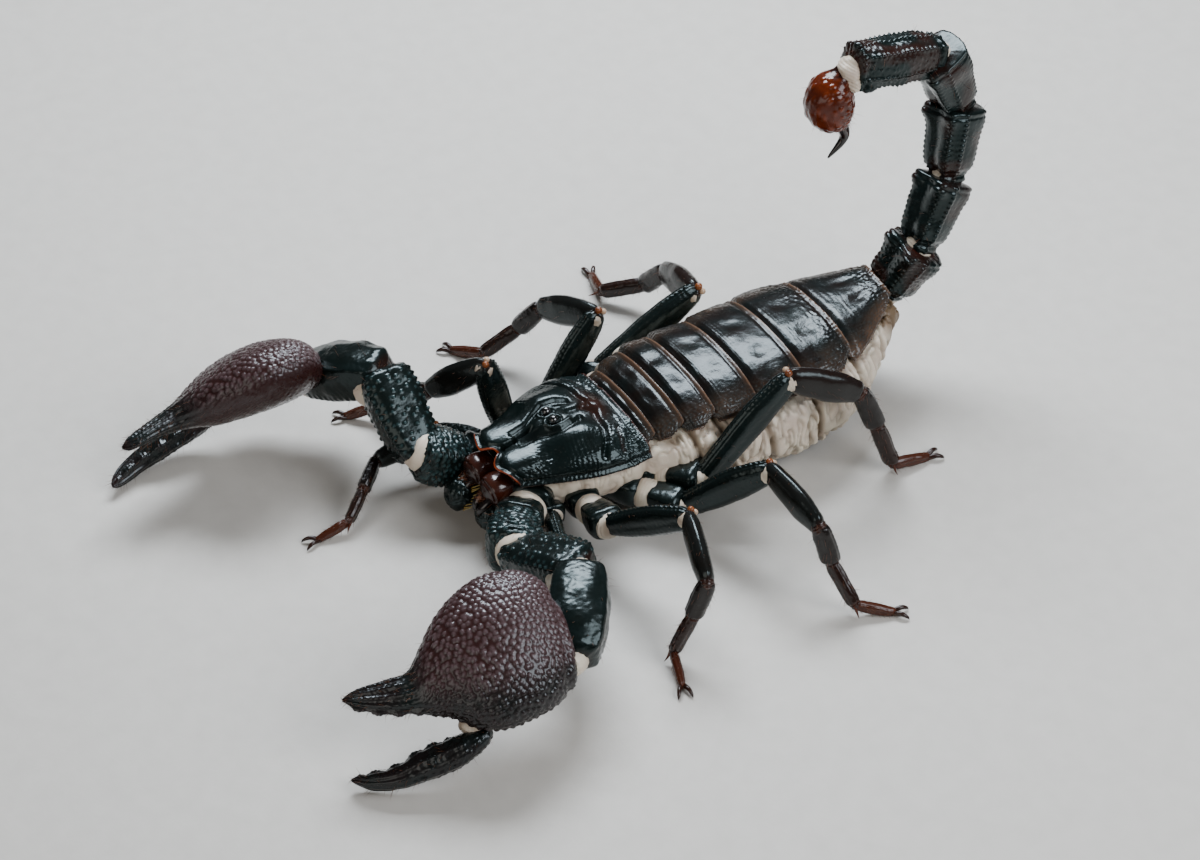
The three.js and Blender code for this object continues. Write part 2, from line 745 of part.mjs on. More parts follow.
function tailPieces() {
  const last = tailJoints[5];
  const line = [last, ...TELSON.map(([back, up]) => last.clone().add(point(0, back, up)))];
  const planes = [tailBend];
  for (let i = 1; i < 5; i += 1) planes.push(bisector(tailJoints[i - 1], tailJoints[i], tailJoints[i + 1]));
  planes.push(bisector(tailJoints[4], last, line[1]));
  const pieces = TAIL.map(({ halfWidth: w, halfHeight: h }, i) => {
    const raw = segment(
      tailJoints[i],
      tailJoints[i + 1],
      [
        [-0.4, w * 0.8, h * 0.78],
        [0.1, w * 0.86, h * 0.86],
        [0.45, w * 0.95, h * 0.98],
        [0.8, w, h],
        [0.98, w * 0.96, h * 0.96],
        [1.2, w * 0.7, h * 0.6],
      ],
      { count: TAIL_SIDES, power: 3, upwards: point(0, -1, 0.2) },
    );
    const started = trimmed(raw, tailJoints[i], planes[i].clone().negate());
    return trimmed(started, tailJoints[i + 1], planes[i + 1]);
  });
  const r = BULB_RADIUS;
  const sac = carried(
    line,
    [
      [-1.2, r * 0.42, r * 0.42],
      [1.2, r * 0.5, r * 0.5],
      [2.8, r * 0.8, r * 0.8],
      [5.0, r * 0.98, r * 0.98],
      [7.4, r, r],
      [9.8, r * 0.88, r * 0.88],
      [11.4, r * 0.62, r * 0.62],
      [12.8, r * 0.4, r * 0.4],
      [14.6, r * 0.29, r * 0.29],
      [16.2, r * 0.22, r * 0.22],
      [18.2, r * 0.14, r * 0.14],
      [20.2, 0.25, 0.25],
    ],
    { count: TAIL_SIDES, turn: 3.5, upwards: point(0, -1, 0) },
  );
  const neck = line[2].clone().sub(line[1]);
  return {
    pieces,
    telson: trimmed(trimmed(sac, last, planes[5].clone().negate()), line[2], neck),
    stinger: trimmed(sac, line[2], neck.negate()),
  };
}

// ---- Assembly ----

const scorpion = new THREE.Group();

function add(name, solid, material) {
  const { vertProperties, triVerts, numProp } = solid.getMesh();
  const positions = new Float32Array((vertProperties.length / numProp) * 3);
  for (let i = 0; i < positions.length / 3; i += 1) {
    positions.set(vertProperties.subarray(i * numProp, i * numProp + 3), i * 3);
  }
  const geometry = new THREE.BufferGeometry();
  geometry.setAttribute("position", new THREE.BufferAttribute(positions, 3));
  geometry.setIndex(new THREE.BufferAttribute(new Uint32Array(triVerts), 1));
  geometry.computeVertexNormals();
  const mesh = new THREE.Mesh(geometry, material);
  mesh.name = name;
  scorpion.add(mesh);
}

const legs = Object.fromEntries(Object.keys(LEG_POSES).map((name) => [name, legPieces(name)]));
const arms = { left: armPieces("left"), right: armPieces("right") };
const bases = [...Object.values(legs), ...Object.values(arms)].map(({ base }) => base);
const femurRooms = Object.values(legs).map(({ femurRoom }) => femurRoom);
const pincerRooms = ["left", "right"].map((side) => chelicera(side, GAP));
const without = (solid, rooms) => rooms.reduce((left, room) => left.subtract(room), solid);
const joined = bases.reduce((whole, base) => whole.add(limbBase(base)), undersideCore());
const baseRooms = bases.map((base) => limbBase(base, GAP));
const tail = tailPieces();

add("carapace", carapace(), FINISHES.shell);
add("prosoma_underside", without(joined, [...femurRooms, ...pincerRooms]), FINISHES.brownShell);
add("mesosoma", without(abdomen(), [...femurRooms, ...baseRooms]), FINISHES.membrane);
TERGITE_REARS.forEach((_, i) => {
  add(`tergite_${i + 1}`, trimmed(tergite(i), tailJoints[0], tailBend), FINISHES.shell);
});
for (const side of ["left", "right"]) {
  const eye = ball(eyeCentre(side === "left" ? 1 : -1), [EYE_RADIUS, EYE_RADIUS, EYE_RADIUS]);
  add(`eye_${side}`, eye, FINISHES.eye);
  add(`chelicera_${side}`, chelicera(side), FINISHES.brownShell);
  add(`pecten_${side}`, pecten(side), FINISHES.membrane);
  const arm = arms[side];
  add(`pedipalp_${side}_trochanter`, arm.trochanter, FINISHES.shell);
  add(`pedipalp_${side}_femur`, arm.femur, FINISHES.shell);
  add(`pedipalp_${side}_patella`, arm.patella, FINISHES.shell);
  add(`pedipalp_${side}_manus`, arm.manus, FINISHES.handShell);
  add(`pedipalp_${side}_movable_finger`, arm.movable_finger, FINISHES.shell);
}
for (const [name, leg] of Object.entries(legs)) {
  add(`leg_${name}_femur`, leg.femur, FINISHES.shell);
  add(`leg_${name}_patella`, leg.patella, FINISHES.shell);
  add(`leg_${name}_foot`, leg.foot, FINISHES.brownShell);
}
tail.pieces.forEach((solid, i) => add(`tail_${i + 1}`, solid, FINISHES.shell));
add("telson", tail.telson, FINISHES.telson);
add("stinger", tail.stinger, FINISHES.brownShell);

const box = new THREE.Box3().setFromObject(scorpion);
const middle = box.getCenter(point(0, 0, 0));
scorpion.position.set(-middle.x, -middle.y, -box.min.z);
const model = new THREE.Group();
model.add(scorpion);

export default model;
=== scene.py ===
"""A life-size emperor scorpion as a museum model: claws forward, tail raised, body heavy with young.

Lengths are millimetres in the model's own layout: she faces -Y, her left is +X, the floor is z = 0, and the
origin is under the middle of her carapace's rear edge. Each mesh is moved to the frame and turned to metres
as it is made.
"""
import functools
import itertools

import bpy
import numpy as np
from mathutils import Matrix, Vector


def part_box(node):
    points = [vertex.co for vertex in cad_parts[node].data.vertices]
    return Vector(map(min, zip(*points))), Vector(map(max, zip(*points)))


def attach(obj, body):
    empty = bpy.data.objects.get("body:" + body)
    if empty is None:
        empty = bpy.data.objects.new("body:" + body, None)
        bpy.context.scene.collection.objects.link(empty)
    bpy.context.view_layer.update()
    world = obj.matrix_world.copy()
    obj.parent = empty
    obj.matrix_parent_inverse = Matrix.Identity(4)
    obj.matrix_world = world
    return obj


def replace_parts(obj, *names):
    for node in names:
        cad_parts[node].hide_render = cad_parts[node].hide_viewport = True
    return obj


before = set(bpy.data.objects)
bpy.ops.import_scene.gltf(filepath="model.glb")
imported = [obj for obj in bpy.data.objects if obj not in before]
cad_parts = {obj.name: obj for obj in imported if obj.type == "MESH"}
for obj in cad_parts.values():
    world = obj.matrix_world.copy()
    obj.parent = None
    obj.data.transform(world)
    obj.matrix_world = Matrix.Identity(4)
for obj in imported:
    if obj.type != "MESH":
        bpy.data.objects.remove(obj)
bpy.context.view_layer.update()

# ---- Places and proportions ----

EYE_PLACE = np.array([1.25, -12.9, 18.5])
# From the layout's origin to the frame's
TO_FRAME = 1000 * np.mean(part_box("eye_left"), axis=0) - EYE_PLACE
UP = np.array([0.0, 0.0, 1.0])
UNDER_PLATES = 1.4  # how far the skin is drawn in beneath the back plates
TRUNK_POWER = 2.4  # the exponent of the trunk's superellipses

# Abdomen, front to back: y, sideways shift, half-width, crown height, belly height, equator height
ABDOMEN = [
    [-21, 0.0, 6.6, 13.0, 4.4, 9.0],
    [-14, 0.0, 10.2, 14.8, 3.4, 9.2],
    [-7, 0.0, 11.9, 15.2, 3.0, 9.4],
    [-1, 0.2, 12.2, 15.2, 3.2, 9.6],
    [7, 0.8, 15.0, 18.4, 2.6, 9.4],
    [13, 1.4, 15.8, 19.5, 0.8, 8.9],
    [21, 1.9, 16.2, 20.1, -0.4, 8.6],
    [30, 2.1, 16.8, 20.3, -0.5, 8.6],
    [38, 1.7, 15.8, 20.2, -0.3, 9.2],
    [44, 1.1, 13.2, 20.0, 1.5, 10.5],
    [50, 0.5, 9.6, 19.9, 5.5, 12.5],
    [57, 0.0, 6.0, 20.0, 10.8, 15.4],
]
PLATE_REARS = [2.2, 7.0, 12.7, 20.6, 30.6, 41.6, 56.4]
BELLY_REARS = [12.0, 20.6, 29.0, 37.4, 45.4, 55.6]

# Carapace, front to back: y, half-width, rim height, crown height
CARAPACE = [
    [-26, 5.8, 12.4, 13.8],
    [-22, 7.4, 12.5, 15.4],
    [-17, 9.5, 12.5, 16.9],
    [-12, 11.3, 12.5, 17.9],
    [-6, 12.5, 12.4, 17.6],
    [0, 12.0, 12.0, 15.6],
]
CARAPACE_FRONT, CARAPACE_REAR = -25.6, 0.25
# Its left side eyes
SIDE_EYES = ((6.3, -23.0, 13.6), (6.9, -22.0, 13.7), (7.4, -20.9, 13.6))
# Lines on its left half, in plan: the rear furrow, two more behind it, the brow ridge and its trough
HEAD_LINES = (
    [(0, -6.6), (1.6, -4.9), (3.4, -5.4), (6.0, -5.6), (8.5, -6.7), (10.8, -8.4)],
    [(6.4, -3.2), (9.4, -4.1), (11.0, -4.6)],
    [(3.6, -2.4), (6.0, -2.6), (8.2, -2.2)],
    [(0.55, -19.5), (0.75, -16.5), (1.15, -14.6), (2.3, -13.6), (2.6, -12.3), (2.0, -10.2)],
    [(1.5, -19.5), (1.9, -16.5), (2.9, -14.6), (3.6, -12.6), (3.2, -10.0), (2.4, -8.2)],
)

# Where each limb's base leaves the underside, on the left side, and its radius
BASES = {
    "1": ((3.2, -17.5, 5.4), 2.1),
    "2": ((4.0, -12.5, 5.2), 2.6),
    "3": ((4.4, -6.8, 5.2), 2.8),
    "4": ((4.6, -3.0, 5.2), 2.9),
    "arm": ((3.8, -17.5, 6.8), 3.6),
}

# Lengths from femur to tarsus, and a factor for thickness
LEGS = {
    "1": ((12.5, 12.3, 6.4, 6.2, 6.4), 0.85),
    "2": ((18.0, 13.8, 7.8, 7.3, 6.7), 0.93),
    "3": ((18.7, 14.6, 7.6, 8.2, 7.1), 1.0),
    "4": ((23.2, 14.6, 8.7, 8.7, 7.9), 1.05),
}
# Each leg's hip, then the heading (0 is +X, 90 is +Y) and rise of each segment, in degrees
LEG_POSES = {
    "left_1": ((10.4, -19.0, 6.2), ((-20, 5), (-80, -17), (-75, -14), (-72, -10), (-70, -6))),
    "left_2": ((19.6, -13.3, 8.8), ((28, 31), (-20, -8), (-115, -73), (-91, -61), (-19, -16))),
    "left_3": ((19.5, 1.9, 5.6), ((45, 38), (1, -6), (33, -71), (15, -48), (58, -14))),
    "left_4": ((17.9, 6.6, 8.2), ((88, 43), (73, -25), (64, -67), (41, -68), (84, -13))),
    "right_1": ((-10.4, -15.9, 4.4), ((-127, 14), (-90, -6), (-50, -15), (-54, -20), (-94, -15))),
    "right_2": ((-15.2, -13.0, 4.0), ((-78, 75), (-141, -40), (-167, -35), (-142, -40), (-123, -21))),
    "right_3": ((-17.5, -3.4, 4.2), ((92, 55), (-163, -24), (-140, -53), (-114, -38), (-148, -15))),
    "right_4": ((-17.8, 7.2, 5.7), ((85, 31), (171, -23), (-172, -49), (-133, -20), (163, -11))),
}

# Arms: the root, the turns of trochanter, femur and patella, and the hand's heading, rise and roll
ARM_LENGTHS = (9.0, 16.0, 17.4)
ARM_POSES = {
    "left": ((11.5, -26.2, 8.8), ((-36, 12), (19, 20), (-36, -12)), (-108, 2, 30)),
    "right": ((-9.1, -24.8, 7.2), ((-100, 24), (179, 34), (207, -24)), (-86, 4, 42)),
}

# Profiles of the legs' segments, before each leg's own factor: share of the length, half-width, top, bottom
FEMUR = [
    [-0.05, 1.4, 1.7, 1.7],
    [0.12, 1.75, 2.35, 2.3],
    [0.35, 1.8, 2.75, 2.75],
    [0.62, 1.8, 3.0, 2.9],
    [0.86, 1.7, 2.5, 2.5],
    [1.05, 1.3, 1.8, 1.8],
]
PATELLA = [
    [-0.09, 1.1, 1.4, 1.4],
    [0.1, 1.65, 2.3, 2.2],
    [0.35, 1.85, 2.9, 2.7],
    [0.65, 1.85, 2.9, 2.8],
    [0.9, 1.55, 2.25, 2.2],
    [1.03, 1.3, 1.7, 1.7],
]
FOOT = (
    [
        [-0.08, 1.05, 1.3, 1.3],
        [0.15, 1.3, 1.65, 1.6],
        [0.5, 1.4, 1.75, 1.7],
        [0.85, 1.45, 1.7, 1.7],
        [1.0, 1.25, 1.4, 1.4],
    ],
    [
        [-0.03, 1.0, 1.15, 1.15],
        [0.2, 1.15, 1.35, 1.35],
        [0.55, 1.15, 1.35, 1.35],
        [0.88, 1.1, 1.3, 1.3],
        [1.02, 0.9, 1.0, 1.0],
    ],
    [
        [-0.04, 0.7, 0.8, 0.8],
        [0.2, 0.85, 0.95, 1.0],
        [0.6, 0.85, 0.95, 1.05],
        [0.9, 0.7, 0.75, 0.8],
        [1.02, 0.45, 0.5, 0.5],
    ],
)
# Their ridges: angle, spread in degrees, height, and the beads' pitch
SAW = [
    (90, 7, 0.42, 1.0),
    (64, 6, 0.12, 0.8),
    (116, 6, 0.12, 0.8),
    (270, 9, 0.25, 0.9),
    (180, 24, -0.2, 0),
    (0, 24, -0.2, 0),
]
SHIN_KEELS = [(90, 8, 0.12, 0), (272, 8, 0.2, 0.8), (20, 30, -0.1, 0), (160, 30, -0.1, 0)]
FOOT_KEELS = [
    (72, 9, 0.14, 0),
    (108, 9, 0.14, 0),
    (250, 11, 0.14, 0.6),
    (290, 11, 0.14, 0.6),
    (0, 20, -0.12, 0),
    (180, 20, -0.12, 0),
]

# The arms' segments: profile, ridges, and their granules' height, pitch and reach and the waves' height
ARM = {
    "trochanter": (
        [
            [-0.14, 3.2, 3.2, 3.2],
            [0.15, 4.0, 4.0, 4.0],
            [0.55, 4.7, 4.6, 4.6],
            [0.9, 4.4, 4.4, 4.4],
            [1.1, 3.5, 3.5, 3.5],
        ],
        [(at, 10, 0.5, 1.2) for at in (40, 140)]
        + [(90, 14, 0.3, 1.1)]
        + [(at, 10, 0.3, 1.2) for at in (220, 320)],
        (0.24, 1.15, 0.42, 0.12),
    ),
    "femur": (
        [
            [-0.06, 3.4, 3.0, 3.0],
            [0.08, 3.8, 3.3, 3.3],
            [0.35, 4.5, 3.7, 3.7],
            [0.7, 4.8, 3.9, 3.9],
            [0.93, 4.5, 3.7, 3.7],
            [1.05, 3.7, 3.1, 3.1],
        ],
        [(at, 6, 0.55, 1.15) for at in (32, 148)]
        + [(at, 8, 0.4, 1.2) for at in (212, 328)]
        + [(90, 30, -0.3, 0)],
        (0.24, 1.6, 0.24, 0.15),
    ),
    "patella": (
        [
            [-0.07, 3.4, 3.1, 3.1],
            [0.06, 4.2, 3.7, 3.7],
            [0.3, 5.0, 4.6, 4.4],
            [0.6, 5.0, 4.8, 4.6],
            [0.87, 4.4, 4.1, 4.1],
            [1.02, 3.3, 3.0, 3.0],
        ],
        [(38, 9, 0.35, 0), (142, 9, 0.35, 0), (215, 9, 0.3, 1.3), (325, 9, 0.3, 1.3)],
        (0.05, 1.1, 0.4, 0.25),
    ),
}

# Hand from the wrist forward, and its moving finger: distance, inner edge, outer edge, back, palm
HAND = [
    [-0.4, 2.0, -2.6, 1.6, -1.6],
    [0.8, 7.5, -3.8, 4.2, -2.6],
    [2.6, 12.2, -5.6, 5.8, -3.0],
    [5.5, 14.8, -7.4, 7.2, -3.4],
    [9.0, 15.6, -8.6, 7.9, -3.6],
    [13.0, 15.2, -9.4, 7.8, -3.6],
    [17.0, 13.4, -8.6, 6.9, -3.4],
    [20.5, 10.4, -6.4, 5.6, -3.0],
    [23.8, 6.2, -5.3, 4.1, -2.1],
    [26.3, 2.3, -4.6, 2.9, -1.5],
    [29.5, 1.5, -4.2, 2.0, -1.3],
    [33.5, 1.0, -3.0, 1.0, -1.6],
    [36.0, 0.4, -1.6, 0.2, -1.7],
    [37.3, -0.2, -0.8, -0.5, -1.2],
]
FINGER = [
    [14.6, -7.8, -10.2, 0.6, -2.4],
    [17.0, -8.4, -12.0, 1.0, -3.2],
    [20.0, -8.6, -13.6, 0.6, -4.0],
    [23.0, -9.4, -14.3, -0.2, -4.6],
    [26.5, -10.2, -14.8, -1.2, -5.4],
    [30.5, -11.8, -15.1, -2.4, -6.2],
    [34.5, -12.0, -14.3, -4.0, -7.2],
    [37.3, -11.7, -12.5, -5.9, -7.3],
]

# Tail: its root, then each segment's length, heading, rise, half-width and half-height
TAIL_ROOT = (-0.1, 57.7, 16.2)
TAIL = [
    (10.4, 72, 58, 5.0, 4.4),
    (13.4, 106, 60, 4.4, 4.3),
    (13.5, 130, 70, 4.4, 4.5),
    (14.6, -87, 66, 4.3, 4.6),
    (19.0, -91, 11, 3.8, 3.9),
]
# Tail segments' shapes, ordinary and last: share of the length, and shares of half-width and half-height
TAIL_BOX = [
    [-0.1, 0.6, 0.55],
    [0.0, 0.68, 0.64],
    [0.12, 0.73, 0.72],
    [0.2, 0.87, 0.86],
    [0.5, 0.93, 0.94],
    [0.82, 1.04, 1.05],
    [0.94, 1.02, 1.02],
    [1.02, 0.84, 0.82],
]
LAST_BOX = [
    [-0.08, 0.65, 0.65],
    [0.05, 0.84, 0.84],
    [0.4, 1.0, 1.0],
    [0.7, 1.0, 0.98],
    [0.92, 0.88, 0.88],
    [1.0, 0.8, 0.78],
]
# Hollows of every tail segment, inner face first: angle, spread, depth and no beads
TAIL_TROUGHS = [
    (90, 26, -0.8, 0),
    (30, 10, -0.2, 0),
    (150, 10, -0.2, 0),
    (340, 16, -0.15, 0),
    (200, 16, -0.15, 0),
]

# From the last joint, back and up: the joint, the bulb's middle, the sting's root, its bend and its point;
# then the radii of the bulb and of the sting, in bulb radii, by millimetres from the joint
TELSON = [[0, 0], [-3.5, -5.8], [-0.9, -11.2], [0.1, -14.6], [-3.2, -18.0]]
BULB_RADIUS = 4.3
BULB = [
    [-1.2, 0.4],
    [1.2, 0.46],
    [2.8, 0.7],
    [5, 0.97],
    [7.4, 1],
    [9.8, 0.88],
    [11.4, 0.62],
    [12.8, 0.4],
    [13.4, 0.34],
]
THORN = [[12.2, 0.38], [13.2, 0.33], [14.6, 0.25], [16.2, 0.19], [18.4, 0.13], [20.6, 0.05], [20.9, 0.02]]

# Pincers: the left one's root, and its barrel's profile
CHELICERA_PLACE = (2.9, -21.4, 10.4)
BARREL = [
    [0, 2.2, 1.9, 2.2],
    [0.25, 2.6, 2.4, 2.6],
    [0.55, 2.75, 2.7, 2.9],
    [0.85, 2.5, 2.2, 2.7],
    [1, 1.9, 1.4, 2.1],
]

# Large numbers that turn a cell and a seed into four that look random
SCATTER = np.array([[127.1, 269.5, 419.2, 371.9], [311.7, 183.3, 71.9, 127.1], [74.7, 246.1, 93.7, 283.3]])
ROW_STEP = 0.87  # rows of a triangular lattice, in pitches
LOOSE = 0.6  # how far its points stray, in pitches

# ---- Directions, tables and scattered numbers ----


def unit(v):
    """Each vector divided by its own length."""
    return v / np.maximum(np.linalg.norm(v, axis=-1, keepdims=True), 1e-9)


def direction(heading, rise):
    """The unit vector at a heading in the floor's plane and a rise above it."""
    h, r = np.radians(heading), np.radians(rise)
    return np.array([np.cos(r) * np.cos(h), np.cos(r) * np.sin(h), np.sin(r)])


def chain(root, lengths, turns):
    """The joints of a limb: each is the one before plus its segment's length along its direction."""
    steps = [length * direction(*turn) for length, turn in zip(lengths, turns)]
    return np.cumsum([np.array(root, float), *steps], axis=0)


def on_side(place, side):
    """A left-side place, or its mirror image for the right side."""
    return np.array(place) * ([1, 1, 1] if side == "left" else [-1, 1, 1])


def ease(v, low, high):
    """0 below low, 1 above high, and 3s^2 - 2s^3 between them."""
    s = np.clip((v - low) / (high - low), 0, 1)
    return s * s * (3 - 2 * s)


def scaled(rows, size):
    """A table of rows with all but its first column multiplied by size."""
    return [[row[0], *(size * v for v in row[1:])] for row in rows]


def bump(v, width):
    """A bell of height 1: e to the minus (v / width) squared."""
    return np.exp(-((v / width) ** 2))


def greatest(values):
    """At each place, the greatest of several arrays."""
    return functools.reduce(np.maximum, values)


def signed(v, power):
    """|v| to a power, with v's sign."""
    return np.sign(v) * np.abs(v) ** power


def along(rows, t):
    """A table's columns at each t: the cubic through its rows whose slope at a row is its neighbours'."""
    rows, t = np.array(rows, float), np.asarray(t, float)
    x, y = rows[:, 0], rows[:, 1:]
    slope = np.gradient(y, np.arange(len(x)), axis=0) / np.gradient(x)[:, None]
    i = np.clip(np.searchsorted(x, t.ravel()) - 1, 0, len(x) - 2)
    span = (x[i + 1] - x[i])[:, None]
    s = np.clip((t.ravel()[:, None] - x[i][:, None]) / span, 0, 1)
    rise = s * s * (3 - 2 * s) * (y[i + 1] - y[i])
    out = y[i] + rise + span * (s * (1 - s) ** 2 * slope[i] - s * s * (1 - s) * slope[i + 1])
    return [out[:, k].reshape(t.shape) for k in range(out.shape[1])]


def dice(cells, seed):
    """Four numbers from 0 to 1 for each whole-number cell: the fractions of large sines."""
    return np.modf(np.abs(np.sin(cells @ SCATTER + 17.3 * seed)) * 43758.5453)[0]


def noise(P, scale, seed=0):
    """Smooth noise from -1 to 1: each cell corner's number, mixed over the cell by eased shares."""
    Q = P.reshape(-1, 3) / scale
    base = np.floor(Q)
    share = (Q - base) ** 2 * (3 - 2 * (Q - base))
    total = np.zeros(len(Q))
    for corner in itertools.product((0, 1), repeat=3):
        weight = np.prod(np.where(corner, share, 1 - share), axis=1)
        total += weight * dice(base + corner, seed)[:, 0]
    return (2 * total - 1).reshape(P.shape[:-1])


def unrolled(P, closed=True):
    """Millimetres along and round a grid: its mean distance down from the start, and each ring's arc from its
    crown, which is a quarter of the way round a closed ring and halfway across an open one."""
    down = np.linalg.norm(np.diff(P, axis=0), axis=-1).mean(1)
    turn = P.shape[1] // 4 if closed else 0
    Q = np.roll(P, turn, 1)
    arc = np.cumsum(np.linalg.norm(np.diff(Q, axis=1, prepend=Q[:, :1]), axis=-1), 1)
    arc = arc - arc[:, P.shape[1] // 2][:, None]
    return np.concatenate([[0], np.cumsum(down)])[:, None] + 0 * arc, np.roll(arc, -turn, 1)


def cells(P, pitch, seed=0, closed=True):
    """Points on a loosened triangular lattice laid over a grid, pitch apart: the nearest one's distance and
    number, and how much further the second nearest is, both distances in pitches."""
    u, v = unrolled(P, closed)
    u, v = u.ravel() / pitch, v.ravel() / (ROW_STEP * pitch)
    near, second, number = np.full(u.shape, 9.0), np.full(u.shape, 9.0), np.zeros(u.shape)
    for di, dj in itertools.product((-1, 0, 1), repeat=2):
        j = np.floor(v) + dj
        odd = 0.5 * (j % 2)
        i = np.floor(u - odd) + di
        rolled = dice(np.stack([i, j, 0 * i], -1), seed)
        u_off = i + odd + 0.5 + LOOSE * (rolled[:, 0] - 0.5) - u
        v_off = ROW_STEP * (j + 0.5 + LOOSE * (rolled[:, 1] - 0.5) - v)
        away = np.hypot(u_off, v_off)
        closer = away < near
        second = np.where(closer, near, np.minimum(second, away))
        number = np.where(closer, rolled[:, 3], number)
        near = np.minimum(near, away)
    shape = P.shape[:-1]
    return near.reshape(shape), (second - near).reshape(shape), number.reshape(shape)


def granules(P, pitch, seed=0, reach=0.5, closed=True):
    """Domes 0 to 1 high on those points: (1 - (distance / reach)^2), taller or lower by number."""
    near, _, number = cells(P, pitch, seed, closed)
    return (0.5 + 0.5 * number) * np.clip(1 - (near / reach) ** 2, 0, 1)


# ---- Surfaces ----
# A surface is a dictionary: its corners (N, 3), quads (M, 4) and triangles (K, 3), and for each corner two
# numbers that its material reads: tone, from its main colour (0) to its second (1), and grain, how high it
# stands in its own relief, by which the material paints a paler glint, a painted highlight.


def rings(centre, side, up, width, top, bottom, power=2.4, count=56, ridges=()):
    """Rings about a line. At angle a the unit superellipse's point is (cos a, sin a) / (|cos a|^power +
    |sin a|^power)^(1 / power), and it is stretched by width across and by top or bottom upwards. A ridge of
    (angle, spread, height) adds height * bell(angle off it / spread)."""
    a = 2 * np.pi * np.arange(count) / count
    reach = (np.abs(np.cos(a)) ** power + np.abs(np.sin(a)) ** power) ** (-1 / power)
    across, tall = reach * np.cos(a), reach * np.sin(a)
    width, top, bottom = (np.reshape(v, (-1, 1)) for v in (width, top, bottom))
    offset = (width * across)[..., None] * side + (np.where(tall > 0, top, bottom) * tall)[..., None] * up
    for at, spread, height in ridges:
        off = (np.degrees(a) - at + 180) % 360 - 180
        offset = offset + unit(offset) * (np.reshape(height, (-1, 1)) * bump(off, spread))[..., None]
    return centre[:, None] + offset


def spaced(count, crowding=0.6):
    """Shares 0 to 1, even in the middle and closer towards both ends."""
    even = np.linspace(0, 1, count)
    return (1 - crowding) * even + crowding * (0.5 - 0.5 * np.cos(np.pi * even))


def blunt(t, start, end):
    """1 in the middle, falling to 0 at both ends as a quarter circle over the shares start and end."""
    near = np.clip(t / start, 0, 1) if start else np.ones_like(t)
    far = np.clip((1 - t) / end, 0, 1) if end else np.ones_like(t)
    return np.sqrt(np.maximum(1 - (1 - near) ** 2, 0) * np.maximum(1 - (1 - far) ** 2, 0))


def segment(start, end, rows, count=(64, 56), upwards=UP, power=2.4, ridges=(), ends=(0.08, 0.08)):
    """Rings along a straight line. Rows are [share, half-width, top, bottom] and may run past its ends, which
    are blunt. A ridge is (angle, spread, height, pitch): with a pitch, it is a row of beads that far apart,
    height * (0.3 + 0.7 * |cos(pi * distance / pitch + angle)|^2). Returns the grid, each ring's share of the
    whole and each angle."""
    s = spaced(count[0])
    t = rows[0][0] + (rows[-1][0] - rows[0][0]) * s
    axis = end - start
    side = unit(np.cross(axis, upwards))
    up = unit(np.cross(side, axis))
    width, top, bottom = (v * blunt(s, *ends) for v in along(rows, t))
    distance = t * np.linalg.norm(axis)
    heights = []
    for at, spread, height, pitch in ridges:
        beads = 0.3 + 0.7 * np.cos(np.pi * distance / pitch + at) ** 2 if pitch else 1.0
        heights.append((at, spread, height * beads * blunt(s, 0.15, 0.08)))
    P = rings(start + t[:, None] * axis, side, up, width, top, bottom, power, count[1], heights)
    return P, s[:, None], 360 * np.arange(count[1])[None] / count[1]


def bent(points, sizes, count=(40, 32), upwards=UP, power=2.2):
    """Rings along a smooth curve through points, square to the curve. Sizes are [share, radius]."""
    points = np.array(points, float)
    t = spaced(count[0])
    table = np.column_stack([np.linspace(0, 1, len(points)), points])
    centre = np.stack(along(table, t), axis=-1)
    axis = unit(np.gradient(centre, axis=0))
    side = unit(np.cross(axis, upwards))
    up = np.cross(side, axis)
    radius = along(sizes, t)[0]
    return rings(centre, side[:, None], up[:, None], radius, radius, radius, power, count[1])


def normals(P, closed=True):
    """The unit normals of a grid, outwards: the cross product of its two directions at each corner."""
    round_ = np.roll(P, -1, 1) - np.roll(P, 1, 1) if closed else np.gradient(P, axis=1)
    n = unit(np.cross(np.gradient(P, axis=0), round_))
    return n * (1 if np.sum(n * (P - P.mean((0, 1)))) > 0 else -1)


def raised(P, height, closed=True):
    """Every corner of a grid moved out along its normal by height."""
    return P + normals(P, closed) * np.broadcast_to(height, P.shape[:2])[..., None]


def above(P, height):
    """A grid with every corner below a height lifted to it."""
    return np.concatenate([P[..., :2], np.maximum(P[..., 2:], height)], axis=-1)


def faced_out(corners, quads, tris, tone, grain):
    """A surface of these, its faces turned so that its volume is positive."""
    split = np.vstack([tris, quads[:, [0, 1, 2]], quads[:, [0, 2, 3]]])
    volume = np.sum(corners[split[:, 0]] * np.cross(corners[split[:, 1]], corners[split[:, 2]]))
    if volume < 0:
        quads, tris = quads[:, ::-1], tris[:, ::-1]
    return dict(corners=corners, quads=quads, tris=tris, tone=tone, grain=grain)


def tube(P, tone=0.0, grain=0.0):
    """A closed surface over a grid of rings, each end closed by a fan to the middle of its ring."""
    n, m = P.shape[:2]
    k = np.arange(n * m).reshape(n, m)
    here, after = k[:-1], k[1:]
    quads = np.stack([here, np.roll(here, -1, 1), np.roll(after, -1, 1), after], -1).reshape(-1, 4)
    first = np.stack([np.full(m, n * m), np.roll(k[0], -1), k[0]], -1)
    last = np.stack([np.full(m, n * m + 1), k[-1], np.roll(k[-1], -1)], -1)
    values = [np.broadcast_to(np.clip(v, 0, 1), (n, m)) for v in (tone, grain)]
    values = [np.append(v, [v[0].mean(), v[-1].mean()]) for v in values]
    corners = np.vstack([P.reshape(-1, 3), P[0].mean(0), P[-1].mean(0)])
    return faced_out(corners, quads, np.vstack([first, last]), *values)


